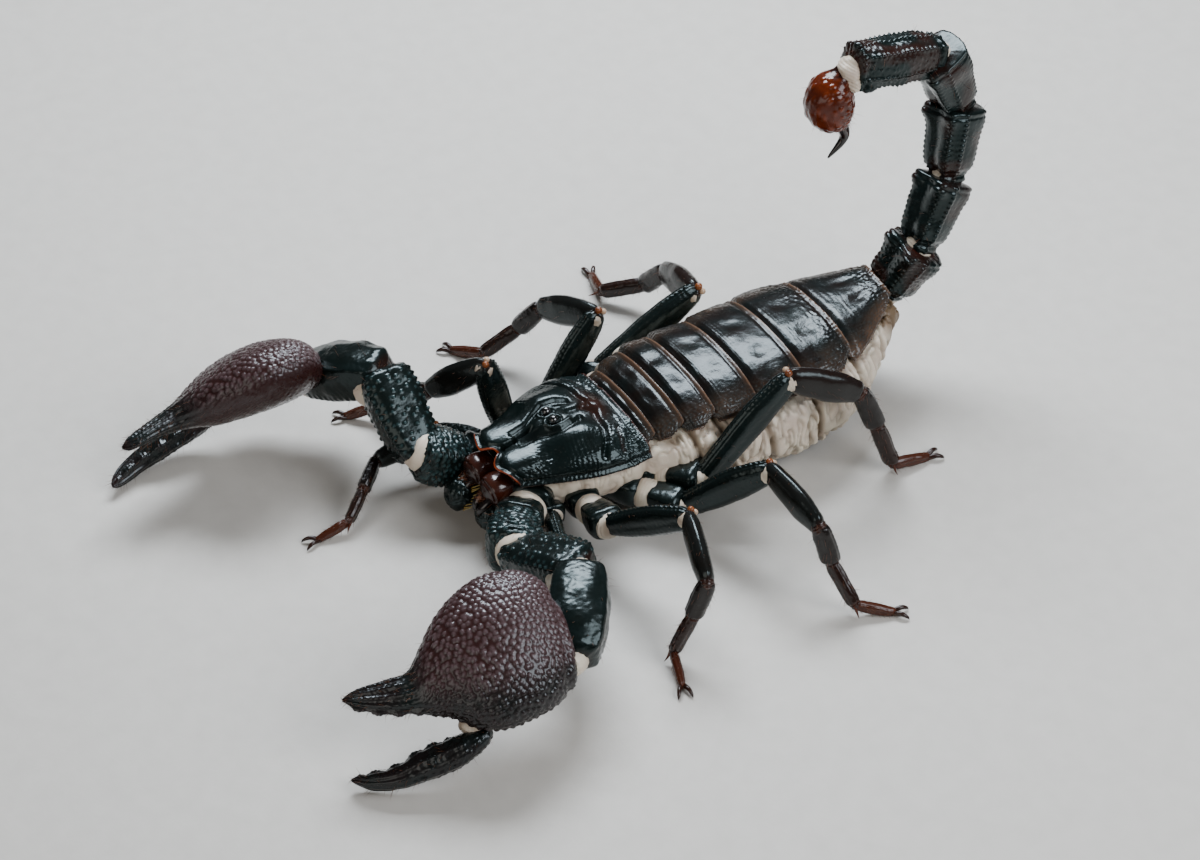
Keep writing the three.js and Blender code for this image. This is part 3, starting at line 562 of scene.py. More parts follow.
def slab(P, thickness, tone=0.0, grain=0.0):
    """A closed plate: a grid, the same grid moved in by thickness, and a lip of faces round the rim whose
    middle stands out by a third of the thickness."""
    n, m = P.shape[:2]
    k = np.arange(n * m).reshape(n, m)
    quads = np.stack([k[:-1, :-1], k[:-1, 1:], k[1:, 1:], k[1:, :-1]], -1).reshape(-1, 4)
    rim = np.concatenate([k[0, :-1], k[:-1, -1], k[-1, :0:-1], k[:0:-1, 0]])
    inside = np.concatenate([k[1, :-1], k[:-1, -2], k[-2, :0:-1], k[:0:-1, 1]])
    flat, under = P.reshape(-1, 3), (P - normals(P, closed=False) * thickness).reshape(-1, 3)
    lip = (flat[rim] + under[rim]) / 2 + unit(flat[rim] - flat[inside]) * thickness / 3
    middle = 2 * n * m + np.arange(len(rim))
    after, middle_after = np.roll(rim, -1), np.roll(middle, -1)
    over_lip = np.stack([after, rim, middle, middle_after], -1)
    under_lip = np.stack([middle_after, middle, rim + n * m, after + n * m], -1)
    quads = np.vstack([quads, quads[:, ::-1] + n * m, over_lip, under_lip])
    values = [np.broadcast_to(np.clip(v, 0, 1), (n, m)).ravel() for v in (tone, grain)]
    values = [np.concatenate([v, v, v[rim]]) for v in values]
    return faced_out(np.vstack([flat, under, lip]), quads, np.zeros((0, 3), int), *values)


def repeated(shape, centres, scales, ways=None):
    """Copies of a small unit surface about many centres: scaled, and if ways are given, its +Z turned to
    them."""
    count, copies = len(shape["corners"]), len(centres)
    v = shape["corners"][None] * np.reshape(scales, (copies, -1, 1 if np.ndim(scales) < 2 else 3))
    if ways is not None:
        z = unit(np.asarray(ways, float))
        x = unit(np.cross(z, np.where(np.abs(z[:, 2:]) > 0.9, [[1.0, 0, 0]], [[0, 0, 1.0]])))
        v = v[..., :1] * x[:, None] + v[..., 1:2] * np.cross(z, x)[:, None] + v[..., 2:] * z[:, None]
    shift = (count * np.arange(copies))[:, None, None]
    return dict(
        corners=(v + np.asarray(centres)[:, None]).reshape(-1, 3),
        quads=(shape["quads"][None] + shift).reshape(-1, 4),
        tris=(shape["tris"][None] + shift).reshape(-1, 3),
        tone=np.tile(shape["tone"], copies),
        grain=np.tile(shape["grain"], copies),
    )


def globe(count=(7, 10), squash=(1, 1, 1)):
    """A sphere of radius 1: rings of radius sin at height cos, closed at both poles."""
    polar = np.linspace(0.02, np.pi - 0.02, count[0])[:, None]
    a = 2 * np.pi * np.arange(count[1]) / count[1]
    P = np.stack([np.sin(polar) * np.cos(a), np.sin(polar) * np.sin(a), np.cos(polar) + 0 * a], -1)
    return tube(P * squash, grain=1.0)


def joined(surfaces):
    """Several surfaces as one, their corner numbers carried on."""
    starts = np.cumsum([0] + [len(s["corners"]) for s in surfaces])
    whole = {key: np.concatenate([s[key] for s in surfaces]) for key in ("corners", "tone", "grain")}
    for key in ("quads", "tris"):
        whole[key] = np.vstack([s[key] + start for s, start in zip(surfaces, starts)])
    return whole


def make(name, surface, material, root_uv=None):
    """The piece of a surface, in metres in the frame, riding on the one body."""
    mesh = bpy.data.meshes.new(name)
    quads, tris = surface["quads"], surface["tris"]
    corners = (surface["corners"] + TO_FRAME) / 1000
    loops = np.concatenate([quads.ravel(), tris.ravel()]).astype(np.int32)
    starts = np.concatenate([4 * np.arange(len(quads)), 4 * len(quads) + 3 * np.arange(len(tris))])
    mesh.vertices.add(len(corners))
    mesh.vertices.foreach_set("co", corners.astype(np.float32).ravel())
    mesh.loops.add(len(loops))
    mesh.loops.foreach_set("vertex_index", loops)
    mesh.polygons.add(len(starts))
    mesh.polygons.foreach_set("loop_start", starts.astype(np.int32))
    mesh.update(calc_edges=True)
    mesh.validate()
    mesh.shade_smooth()
    for key in ("tone", "grain"):
        mesh.attributes.new(key, "FLOAT", "POINT").data.foreach_set("value", surface[key].astype(np.float32))
    if root_uv is not None:
        layer = mesh.uv_layers.new(name="OFBake")
        layer.data.foreach_set("uv", root_uv[loops].astype(np.float32).ravel())
    piece = bpy.data.objects.new(name, mesh)
    bpy.context.collection.objects.link(piece)
    mesh.materials.append(material)
    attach(piece, "root")
    return piece


def stand_in(name, surface, material, node=None):
    """A piece that replaces a node: the one of its own name, unless another is given."""
    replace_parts(make(name, surface, material), node or name)


def bristles(roots, ways, lengths, places, radius=0.05, droop=0.2):
    """Three-sided bristles: the ring at share s is centred on root + length * (s * way - droop * s^2 * up)
    and its radius is radius * (1 - s). Each is a patch 0.003 across at its root's place on the unwrap."""
    s = np.array([0.0, 0.3, 0.6, 0.85, 0.99])
    a = 2 * np.pi * np.arange(3) / 3
    count, rows = len(roots), len(s)
    x = unit(np.cross(ways, [0.31, 0.47, 0.83]))
    y = np.cross(ways, x)
    line = roots[:, None] + lengths[:, None, None] * (
        s[None, :, None] * ways[:, None] - droop * (s[None, :, None] ** 2) * UP
    )
    spoke = np.cos(a)[None, :, None] * x[:, None] + np.sin(a)[None, :, None] * y[:, None]
    thick = radius * (1 - s)[None, :, None, None]
    corners = (line[:, :, None] + thick * spoke[:, None]).reshape(-1, 3)
    corners[:, 2] = np.maximum(corners[:, 2], 0.05)
    k = np.arange(rows * 3).reshape(rows, 3)
    one = np.stack([k[:-1], np.roll(k[:-1], -1, 1), np.roll(k[1:], -1, 1), k[1:]], -1).reshape(-1, 4)
    shift = (3 * rows * np.arange(count))[:, None, None]
    caps = np.array([[k[0, 2], k[0, 1], k[0, 0]], [k[-1, 0], k[-1, 1], k[-1, 2]]])
    patch = 0.003 * np.stack(np.broadcast_arrays(s[:, None], a[None] / (2 * np.pi)), -1)
    uv = (places[:, None, None] * 0.99 + patch).reshape(-1, 2)
    share = np.tile(np.repeat(s, 3), count)
    surface = dict(
        corners=corners,
        quads=(one[None] + shift).reshape(-1, 4),
        tris=(caps[None] + shift).reshape(-1, 3),
        tone=share,
        grain=share,
    )
    return surface, uv


def coat(P, count, seed, length, lean=0.6, mask=1.0, closed=True):
    """Roots chosen at random among a grid's corners, in proportion to mask, with a bristle from each that
    stands out along the normal and leans down the limb. Returns roots, ways, lengths and unwrap places."""
    rng = np.random.default_rng(seed)
    n, m = P.shape[:2]
    weight = np.broadcast_to(mask, (n, m)).ravel()
    chosen = rng.choice(n * m, count, replace=False, p=weight / weight.sum())
    out = normals(P, closed).reshape(-1, 3)[chosen]
    down = unit(np.gradient(P, axis=0)).reshape(-1, 3)[chosen]
    ways = unit(out + lean * down + 0.2 * rng.normal(size=(count, 3)))
    places = np.stack([chosen // m / n, chosen % m / m], -1)
    return P.reshape(-1, 3)[chosen], ways, length * (0.5 + rng.random(count)), places


def rusty(name, sets, radius, size=1.0, droop=0.2):
    """One piece of rust-coloured bristles, from several sets of roots, ways, lengths and places."""
    roots, ways, lengths, places = (np.concatenate(column) for column in zip(*sets))
    surface, uv = bristles(roots, ways, size * lengths, places, radius, droop)
    make(f"bristles_{name}", surface, RUST_HAIR, root_uv=uv)


# ---- Finishes ----


def colour(code):
    """An sRGB hex code as linear red, green, blue and alpha."""
    parts = np.array([int(code[i : i + 2], 16) for i in (1, 3, 5)]) / 255
    linear = np.where(parts <= 0.04045, parts / 12.92, ((parts + 0.055) / 1.055) ** 2.4)
    return (*linear.tolist(), 1.0)


def add(tree, kind, inputs=None, **settings):
    """One node of a kind, with its settings, and each input given a value or linked to another's output."""
    made = tree.nodes.new("ShaderNode" + kind)
    for name, value in settings.items():
        setattr(made, name, value)
    for name, value in (inputs or {}).items():
        if isinstance(value, bpy.types.NodeSocket):
            tree.links.new(value, made.inputs[name])
        else:
            made.inputs[name].default_value = value
    return made


def finish(name, main, second, deep, rough, bump, glint_colour=None, shader=None):
    """A finish: its colour goes from main to deep in cloudy patches 4 mm across, and from that to second by
    the tone attribute; a paler colour, a painted glint, follows the grain attribute on the tops of granules.
    Roughness runs over the range rough in patches 1.5 mm across, and the bump is a list of (size, height) in
    millimetres."""
    material = bpy.data.materials.new(name)
    material.use_nodes = True
    tree = material.node_tree
    surface = tree.nodes["Principled BSDF"]
    place = add(tree, "TexCoord").outputs["Object"]
    tone = add(tree, "Attribute", attribute_name="tone").outputs["Fac"]
    grain = add(tree, "Attribute", attribute_name="grain").outputs["Fac"]

    def cloudy(size, detail):
        """Noise whose patches are size mm across."""
        inputs = {"Vector": place, "Scale": 1000 / size, "Detail": detail}
        return add(tree, "TexNoise", inputs).outputs["Fac"]

    def mixed(share, under, over):
        """One colour over another by share."""
        return add(tree, "Mix", {0: share, 6: under, 7: colour(over)}, data_type="RGBA").outputs[2]

    patchy = add(tree, "MapRange", {"Value": cloudy(4.0, 3.0), "From Min": 0.35, "From Max": 0.75})
    base = mixed(tone, mixed(patchy.outputs["Result"], colour(main), deep), second)
    if glint_colour:
        base = mixed(grain, base, glint_colour)
    tree.links.new(base, surface.inputs["Base Color"])
    gloss = add(tree, "MapRange", {"Value": cloudy(1.5, 2.0), "To Min": rough[0], "To Max": rough[1]})
    tree.links.new(gloss.outputs["Result"], surface.inputs["Roughness"])
    normal = None
    for size, height in bump:
        inputs = {"Height": cloudy(size, 2.0), "Strength": 1.0, "Distance": height / 1000}
        if normal:
            inputs["Normal"] = normal
        normal = add(tree, "Bump", inputs).outputs["Normal"]
    if normal:
        tree.links.new(normal, surface.inputs["Normal"])
    for socket, value in (shader or {}).items():
        surface.inputs[socket].default_value = value
    return material


# Waxed, hardened cuticle: near black with a sea-green cast, and a hard clear shine over faint dimples.
# The dimples are about 0.15 mm on the animal, and are drawn at 0.35 mm so that they show.
# The paler grey-green on its granules' tops is a painted glint.
BLACK = finish(
    "Black chitin, waxed",
    main="#0b1413",
    second="#2e120a",
    deep="#0a0e0b",
    rough=(0.17, 0.3),
    bump=[(0.9, 0.03), (0.35, 0.012)],
    glint_colour="#26393a",
    shader={"IOR": 1.43, "Specular Tint": colour("#dcf0f2")},
)
# The same cuticle where it thins at the plates' free edges: black, going to tan at the very rim.
# Its grey on the side granules is a painted sheen.
PLATE_BLACK = finish(
    "Black chitin, thinning to tan at the edges",
    main="#0d1110",
    second="#82614a",
    deep="#150b07",
    rough=(0.17, 0.32),
    bump=[(1.2, 0.06), (0.35, 0.016)],
    glint_colour="#2c3030",
    shader={"IOR": 1.43, "Specular Tint": colour("#e2eff2")},
)
# Granulate cuticle of the hands: near black, going to maroon by tone, with each granule polished and its top
# painted paler as a painted highlight, so that the hands sparkle.
MAROON = finish(
    "Maroon chitin, granulate",
    main="#0a110f",
    second="#2c1513",
    deep="#170c0b",
    rough=(0.22, 0.32),
    bump=[(0.3, 0.012)],
    glint_colour="#534345",
    shader={"IOR": 1.48, "Specular Tint": colour("#e6eef2")},
)
# Thinner, redder cuticle of the pincers and feet: deep brown, glassy, going to horn where it is thinnest.
BROWN = finish(
    "Brown chitin, translucent at the edges",
    main="#120b08",
    second="#6a3016",
    deep="#0e0806",
    rough=(0.18, 0.3),
    bump=[(0.8, 0.03), (0.3, 0.012)],
    shader={"IOR": 1.43},
)
# The pincers' cuticle, rubbed smooth: the reddest and glossiest of the shell, black at the fingers.
PINCER = finish(
    "Red-brown chitin, polished",
    main="#3a190e",
    second="#0f0806",
    deep="#2a100a",
    rough=(0.14, 0.24),
    bump=[(1.5, 0.03)],
    shader={"IOR": 1.54},
)
# The head shield: the same cuticle, running out to orange-red where it thins to the front edge.
# Its paler colour on the granules of the rough rear is a painted speckled highlight.
HEAD_BLACK = finish(
    "Black chitin, orange at the front edge",
    main="#0a1312",
    second="#9c401b",
    deep="#0a0e0c",
    rough=(0.15, 0.28),
    bump=[(1.0, 0.03), (0.35, 0.014)],
    glint_colour="#2a3536",
    shader={"IOR": 1.43, "Specular Tint": colour("#dcf0f2")},
)
# Thin, honey-coloured cuticle of the knobs that the knees turn on.
HONEY = finish(
    "Honey chitin, polished",
    main="#84481d",
    second="#c4aa90",
    deep="#5c2c14",
    rough=(0.2, 0.3),
    bump=[(0.6, 0.02)],
    shader={"IOR": 1.5, "Subsurface Weight": 0.15, "Subsurface Radius": (0.001, 0.0006, 0.0003)},
)
# Soft joint skin: cream leather with a low sheen and faint grey clouds; on the trunk's skin its second
# colour, brown, is painted shade in the folds and creases, and the collars are browner towards their ends. It
# lets a little light through, which softens its pleats.
CREAM = finish(
    "Soft cuticle, cream",
    main="#ddd2be",
    second="#6a563f",
    deep="#c8b6a6",
    rough=(0.34, 0.5),
    bump=[(0.7, 0.06), (0.25, 0.02)],
    shader={"Subsurface Weight": 0.12, "Subsurface Radius": (0.0014, 0.0008, 0.0005), "IOR": 1.45},
)
# Venom bulb: amber-red cuticle, thin enough to glow, with small polished granules.
# Its brighter orange on the granules' tops is a painted highlight.
AMBER = finish(
    "Amber chitin, granulate",
    main="#581e06",
    second="#200a05",
    deep="#3a1104",
    rough=(0.14, 0.24),
    bump=[(0.6, 0.02)],
    glint_colour="#75300f",
    shader={"IOR": 1.43, "Subsurface Weight": 0.08, "Subsurface Radius": (0.0012, 0.0004, 0.0002)},
)
# The sting's solid cuticle, dark red-brown to black, and smooth enough for one sharp highlight.
STING = finish(
    "Dark chitin, needle-smooth",
    main="#2a0c06",
    second="#0b0706",
    deep="#140806",
    rough=(0.1, 0.16),
    bump=[(1.2, 0.01)],
    shader={"IOR": 1.56},
)
# The eyes' clear lens over black: a wet-looking bead with the sharpest highlights of all.
LENS = finish(
    "Eye lens, black glass",
    main="#030404",
    second="#030404",
    deep="#050606",
    rough=(0.03, 0.05),
    bump=[],
    shader={"IOR": 1.6, "Coat Weight": 1.0, "Coat Roughness": 0.02},
)
# Hollow bristles, red-brown and paler to the tip, with a silky low shine.
RUST_HAIR = finish(
    "Bristle, red-brown",
    main="#3d1d10",
    second="#8a5128",
    deep="#2a140b",
    rough=(0.35, 0.5),
    bump=[],
)
# The stout bristles of the mouth: straw-coloured and shinier.
GOLD_HAIR = finish(
    "Bristle, straw",
    main="#a98a35",
    second="#e2cf84",
    deep="#94752c",
    rough=(0.3, 0.45),
    bump=[],
)

# ---- Trunk ----


def flank(y, angle, out=0.0):
    """The trunk's surface at y and at an angle up from its left side: a superellipse in the table's sizes,
    pushed out by out. Near the tail its sections lean to face along the first tail segment."""
    shift, half, crown, belly, equator = along(ABDOMEN, y)
    a = np.radians(angle)
    tall = signed(np.sin(a), 2 / TRUNK_POWER)
    height = np.where(tall > 0, crown - equator, equator - belly)
    x = shift + signed(np.cos(a), 2 / TRUNK_POWER) * (half + out)
    z = equator + tall * (height + out)
    lean = 0.56 * np.maximum(z - 16.2, -1.5) + 0.1 * x
    return np.stack([x, y + 0 * a - ease(y, 47, 57) * lean, z], -1)


def side_of(angle):
    """1 on the soft flanks, 0 on the back and belly, for an angle up from the left side."""
    off = np.abs((angle + 90) % 180 - 90)
    return 1 - ease(off, 36, 60)


def skin():
    """One soft skin from the pincers' roots to the tail: the trunk's surface, drawn in under the plates,
    deeply pleated where they end, bulging between the pleats, and cut by fine wrinkles that run up and down
    the flanks: where noise stretched upwards passes zero, (1 - |noise|)^4 deep, about 1 mm apart, and coarser
    creases of the same kind, (1 - |noise|)^6 deep."""
    y = np.linspace(-20.5, 57.0, 400)[:, None]
    angle = np.linspace(0, 360, 224, endpoint=False)[None]
    rise = np.sin(np.radians(angle))
    P = flank(y, angle, -UNDER_PLATES * ease(rise, 0.35, 0.72) - 0.5 * ease(-rise, 0.5, 0.9))
    soft = side_of(angle)
    slant = y + 0.12 * (P[..., 2] - 12) + 0.5 * noise(P, 4.0, 2)
    folds = sum(bump(slant - rear - 0.6, 0.5) for rear in PLATE_REARS[1:6])
    between = zip(PLATE_REARS, PLATE_REARS[1:6])
    lobes = sum(bump(slant - (a + b) / 2 - 0.6, 0.3 * (b - a)) for a, b in between)
    loose = ease(y, -2, 8)
    stretched = P * [0.5, 1.0, 0.3] + 0.55 * noise(P, 3.0, 3)[..., None]
    wrinkle = (1 - np.abs(noise(stretched, 0.85, 5))) ** 4
    stretched = P * [0.5, 1.0, 0.45] + 0.8 * noise(P, 4.0, 9)[..., None]
    crease = (1 - np.abs(noise(stretched, 2.3, 6))) ** 6
    relief = soft * (
        -1.1 * folds * loose
        + 0.55 * lobes * loose * bump(rise - 0.25, 0.45)
        + 0.9 * bump(y - 47, 7) * bump(rise - 0.1, 0.4)
        - (0.15 + 0.4 * loose) * wrinkle
        - (0.1 + 0.6 * loose) * crease
        + 0.45 * loose * noise(P, 5.0, 7)
        - 0.5 * bump(y + 1.2, 0.6) * ease(rise, -0.4, 0.1)
    )
    P = above(raised(P, relief), 0.12)
    # Painted shade: the colour is darkened towards brown in the folds, wrinkles and creases of the flanks,
    # with faint random clouds; then browner at the rear end by the tail.
    dark = soft * (0.7 * folds * loose + 0.4 * wrinkle + 0.45 * crease) + 0.12 * noise(P, 3.0, 8)
    dark = dark + 0.9 * ease(y + 0.12 * (P[..., 2] - 12), 50.5, 53.5)
    stand_in("skin", tube(P, dark), CREAM, "mesosoma")


def back_plate(i):
    """A back plate: it slips out from under the plate before it, rises to its full height over 1.9 mm or half
    its length, and ends in a thin tan lip. Its corners are rounded, its middle is softly uneven with two
    dents, its front quarter has fine cross lines, and its sides are dimpled and finely granulate."""
    last = i == len(PLATE_REARS) - 1
    rear = PLATE_REARS[i] + 1.2 * last
    front = PLATE_REARS[i - 1] - 0.9 if i else -1.3
    long = rear - front
    u = np.sin(np.linspace(-np.pi / 2, np.pi / 2, 170))[None]
    v = spaced(52, 0.35)[:, None]
    off = np.abs(u)
    corner = min(2.8, 0.5 * long) * ease(off, 0.68, 1) ** 2
    y = front + 0.4 * corner + v * (long - 1.4 * corner)
    angle = 90 - (55.5 if last else 51.5) * u
    flat = flank(y, angle)
    mm = y - front
    to_rear = rear - 0.4 * corner - y
    side = ease(off, 0.45, 0.8)
    edge = np.maximum(bump(to_rear, 0.4), ease(off, 0.965, 1))
    dents = bump(v - 0.55, 0.22) * (bump(u + 0.2, 0.11) + bump(u - 0.2, 0.11))
    wavy = noise(flat * [0.8, 1, 1], 2.4, i) + 0.4 * noise(flat, 1.1, 90 + i)
    lines = np.sin(2 * np.pi * (mm + 0.25 * wavy) / 0.6) * bump(v - 0.24, 0.12)
    shagreen = granules(flat, 0.62, 30 + i, closed=False)
    rear_grains = granules(flat, 0.95, 40 + i, 0.4, closed=False) * ease(v, 0.5, 0.85) * (i > 4)
    out = (
        -0.55
        + 0.8 * ease(mm, 0.7, 0.7 + min(1.9, 0.5 * long))
        + 0.2 * np.sin(np.pi * v)
        - 0.45 * ease(off, 0.93, 1)
        - 0.3 * dents
        + 0.05 * lines
        + (0.07 + 0.02 * side) * wavy
        + (0.02 + 0.09 * side) * shagreen
        + 0.14 * rear_grains
        + 0.1 * edge
        - 0.14 * bump(to_rear - 0.85, 0.35)
    )
    browns = [
        0.55 * bump(to_rear - 0.16, 0.14),
        0.16 * ease(to_rear, 1.2, 0.3),
        0.6 * ease(off, 0.972, 1),
        # Painted reflection: the sides are painted a little browner, unevenly.
        0.12 * side * (1 + wavy),
        last * 0.4 * ease(off, 0.55, 0.9) * (0.7 + 0.5 * noise(flat, 2.5, 9)),
    ]
    # The side granules take the painted glint colour, a grey sheen.
    surface = slab(flank(y, angle, out), 0.4, greatest(browns), 0.8 * side * shagreen)
    stand_in(f"tergite_{i + 1}", surface, PLATE_BLACK)


def belly_plate(i):
    """A belly plate: a thin sheet just outside the skin of the underside, fullest in its middle, with rounded
    corners and a paler rear lip."""
    front = BELLY_REARS[i - 1] - 0.3 if i else 5.0
    long = BELLY_REARS[i] - front
    u = np.sin(np.linspace(-np.pi / 2, np.pi / 2, 90))[None]
    v = spaced(26, 0.35)[:, None]
    corner = 0.35 * long * ease(np.abs(u), 0.7, 1) ** 2
    y = front + corner + v * (long - 2 * corner)
    P = flank(y, 270 + 50 * u, -0.32 + 0.3 * np.sin(np.pi * v) ** 0.5 * np.cos(u * np.pi / 2) ** 0.3)
    P = above(raised(P, 0.04 * granules(P, 0.9, 60 + i, closed=False), closed=False), 0.06)
    make(f"belly_plate_{i + 1}", slab(P, 0.3, 0.8 * ease(v, 0.93, 1)), BROWN)


# ---- Head shield ----


def near_line(x, y, line):
    """The distance in plan from each place to the nearest part of a line of points."""
    best = np.full(np.broadcast(x, y).shape, 99.0)
    for (ax, ay), (bx, by) in zip(line, line[1:]):
        dx, dy = bx - ax, by - ay
        s = np.clip(((x - ax) * dx + (y - ay) * dy) / (dx * dx + dy * dy), 0, 1)
        best = np.minimum(best, np.hypot(x - ax - s * dx, y - ay - s * dy))
    return best


def carapace():
    """The head shield: a vault over the rim and crown of the table with a notched front edge. On it, by
    their place in plan, lie two front domes, a deep middle groove, the eyes' mound with its brow ridges, the
    bulge beside them, the rear furrow that forks from the middle, and a smooth rolled rim."""
    a = np.radians(np.linspace(0, 180, 220)[None])
    v = spaced(164, 0.2)[:, None]
    across = signed(np.cos(a), 2 / TRUNK_POWER)
    half_front = along(CARAPACE, np.array([CARAPACE_FRONT]))[0][0]
    front = CARAPACE_FRONT + 2.4 * bump(across * half_front, 1.6) + 2.6 * np.abs(across) ** 3
    y = front + v * (CARAPACE_REAR - front)
    half, rim, crown = along(CARAPACE, y)
    P = np.stack([across * half, y, rim + np.sin(a) ** (2 / TRUNK_POWER) * (crown - rim)], -1)
    x = np.abs(P[..., 0])
    steps = np.linalg.norm(np.diff(P, axis=1, prepend=P[:, :1]), axis=-1)
    run = np.cumsum(steps, 1)
    from_side = np.minimum(run, run[:, -1:] - run)
    from_front = (y - front) * 0.95
    from_rim = np.minimum(from_side, from_front)

    def hill(at_x, at_y, wide, long, power=2):
        """A hill of height 1 at a place in plan, e to the minus |x / wide|^power and |y / long|^power."""
        return np.exp(-(np.abs((x - at_x) / wide) ** power) - np.abs((y - at_y) / long) ** power)

    furrow, second, third, brow, trough = (near_line(x, y, line) for line in HEAD_LINES)
    groove = bump(x, 0.42) * (1 - ease(y, -17.6, -15.6))
    groove = groove + 0.4 * bump(x, 0.4) * ease(y, -10.6, -9.2) * (y < -5)
    orbit = np.hypot(x - EYE_PLACE[0], (y - EYE_PLACE[1]) / 1.25)
    calm = 1 - greatest([hill(3.6, -21.2, 2.9, 3.2, 4), hill(1, -13, 3.4, 5.5, 4), hill(5, -11, 2.4, 3, 4)])
    relief = (
        (0.8 + 0.25 * (-20.8 - y) + 0.12 * (x - 3.5)) * hill(3.5, -21.0, 3.1, 3.8, 4)
        - 1.25 * groove
        + 0.7 * hill(0, -13.4, 1.8, 3.4, 3)
        + 0.42 * bump(brow, 0.36)
        - 0.6 * bump(trough, 0.5)
        + 0.28 * bump(orbit - 1.15, 0.2)
        - 0.3 * bump(orbit, 0.8)
        + 0.7 * hill(5.2, -10.8, 2.3, 3.4, 2.5)
        - 0.5 * hill(6.6, -16.6, 1.8, 2.0)
        - 0.85 * bump(furrow, 0.5) * (1 - ease(from_side, 1.6, 0.5))
        + 0.5 * hill(0, -3.8, 1.6, 1.7)
        - 0.4 * bump(second, 0.35)
        - 0.2 * bump(third, 0.35)
        - 0.3 * bump(y + 1.0, 0.3) * ease(from_side, 1, 3)
        + 0.25 * bump(from_rim - 0.1, 0.35)
        - 0.3 * bump(from_rim - 0.95, 0.4)
        + 0.16 * noise(P, 3.4, 5) * calm
    )
    striae = np.sin(2 * np.pi * (y + 0.6 * noise(P, 3.5, 1) + 0.05 * x**1.6) / 0.8)
    striae = striae * ease(x, 4.5, 7) * ease(y, -18, -14) * (1 - ease(y, -9, -6))
    rear_rough = ease(y, -6, -4.5) * ease(x, 2.5, 5)
    shagreen = granules(P, 0.55, 2, closed=False)
    coarse = granules(P, 0.95, 3, 0.4, closed=False) * (0.03 + 0.22 * hill(6.6, -19.8, 1.5, 2.2)) * calm
    relief = relief + 0.022 * striae + (0.015 + 0.09 * rear_rough + 0.03 * calm) * shagreen
    P = raised(P, relief + coarse + rear_rough * 0.22 * noise(P, 1.7, 4), closed=False)
    tones = [
        0.8 * ease(from_front, 0.32, 0.08) * ease(from_side, 0.3, 1.6),
        0.05 * ease(from_side, 0.25, 0.05),
        0.12 * ease(y, -0.1, 0.15),
        0.07 * bump(furrow, 0.6) * (1 - ease(x, 3, 6)),
        0.03 * bump(second, 0.4),
        0.07 * hill(0, -4.5, 4, 2),
    ]
    # The rough rear's granules take the painted glint colour, a painted speckled highlight.
    surface = slab(P, 0.5, greatest(tones), 0.5 * shagreen * rear_rough)
    stand_in("carapace", surface, HEAD_BLACK)
    for name in ("left", "right"):
        lens = repeated(globe((28, 36)), [on_side(EYE_PLACE, name)], [0.85])
        stand_in(f"eye_{name}", lens, LENS)
        spots = [on_side(spot, name) for spot in SIDE_EYES]
        make(f"side_eyes_{name}", repeated(globe((12, 16)), spots, [0.36, 0.34, 0.3]), LENS)


# ---- Mouth and limb bases ----


def pincer(side):
    """A short jaw beside the mouth: a swollen polished barrel, flat above, that ends in two curved fingers
    with dark teeth, the outer one longer, and rust bristles between them."""
    sign = 1 if side == "left" else -1
    root = on_side(CHELICERA_PLACE, side)
    start, end = root - [0, 1.0, -0.1], root + [0, -6.7, -0.9]
    P, t, angle = segment(start, end, BARREL, (70, 64), power=2.5, ends=(0.1, 0.3))
    P = raised(P, 0.06 * noise(P, 2.8, 70) - 0.2 * bump(t - 0.8, 0.03) * (angle < 190))
    parts = [tube(P, 0.75 * ease(t, 0.6, 0.95))]
    for across, reach in ((1.0, 2.2), (-0.8, 1.5)):
        line = [
            end + [sign * across, 1.6, -0.3],
            end + [sign * across * 1.2, 0.0, -1.2],
            end + [sign * across * 0.9, -0.7 - 0.2 * reach, -2.3],
            end + [sign * across * 0.3, -0.4 - 0.3 * reach, -2.6 - 0.75 * reach],
        ]
        parts.append(tube(bent(line, [[0, 0.9], [0.5, 0.75], [0.8, 0.45], [1, 0.1]], (36, 20)), 1.0))
    stand_in(f"chelicera_{side}", joined(parts), PINCER)
    mask = ease(t, 0.8, 0.95) * ease(-np.sin(np.radians(angle)), -0.2, 0.3)
    rusty(f"chelicera_{side}", [coat(P, 70, 71 + sign, 1.5, 1.4, mask)], 0.05)


def limb_bases():
    """The bases of the ten limbs: each is a ridged coxa, a soft collar and a short trochanter in line, from
    under the body to the limb's hip, with a breast plate between them."""
    hard, soft = [], []
    hips = {name: LEG_POSES[name][0] for name in LEG_POSES}
    hips.update({f"{side}_arm": ARM_POSES[side][0] for side in ARM_POSES})
    keels = [(40, 14, 0.35, 0), (140, 14, 0.35, 0), (90, 20, -0.2, 0)]
    barrel = [[0, 0.8, 0.8, 0.8], [0.5, 1, 1, 1], [0.85, 1.06, 1.08, 1], [1, 0.9, 0.9, 0.9]]
    for seed, (name, hip) in enumerate(hips.items()):
        side, pair = name.split("_")
        inner, radius = BASES[pair]
        inner = on_side(inner, side)
        whole = np.array(hip) - inner
        reach = np.linalg.norm(whole)
        bead = 0.16 if pair == "arm" else 0.08
        for low, high, swell in ((0.0, 0.6, 1.05), (0.64, 1.0 + 0.8 / reach, 1.12)):
            start, end = inner + low * whole, inner + high * whole
            rows = scaled(barrel, radius * swell)
            P, t, _ = segment(start, end, rows, (36, 44), ridges=keels, ends=(0.12, 0.25))
            relief = bead * granules(P, 0.9, 80 + seed) + 0.12 * noise(P, 2.2, 90 + seed)
            P = above(raised(P, relief), 0.6)
            hard.append(tube(P, 0.6 * ease(t, 0.93, 1)))
        way = unit(whole)
        soft.append(collar(inner + 0.62 * whole, way, radius * 1.02, 0.30 * reach))
        soft.append(collar(inner + whole, way, radius * 0.92, radius * 1.3))
    # The globe's grain of 1 paints the whole breast plate in the black finish's painted glint colour.
    breast = repeated(globe((24, 32)), [[0, -12, 4.4]], np.array([[3.4, 9.0, 1.6]]))
    stand_in("limb_bases", joined([*hard, breast]), BLACK, "prosoma_underside")
    make("limb_base_collars", joined(soft), CREAM)


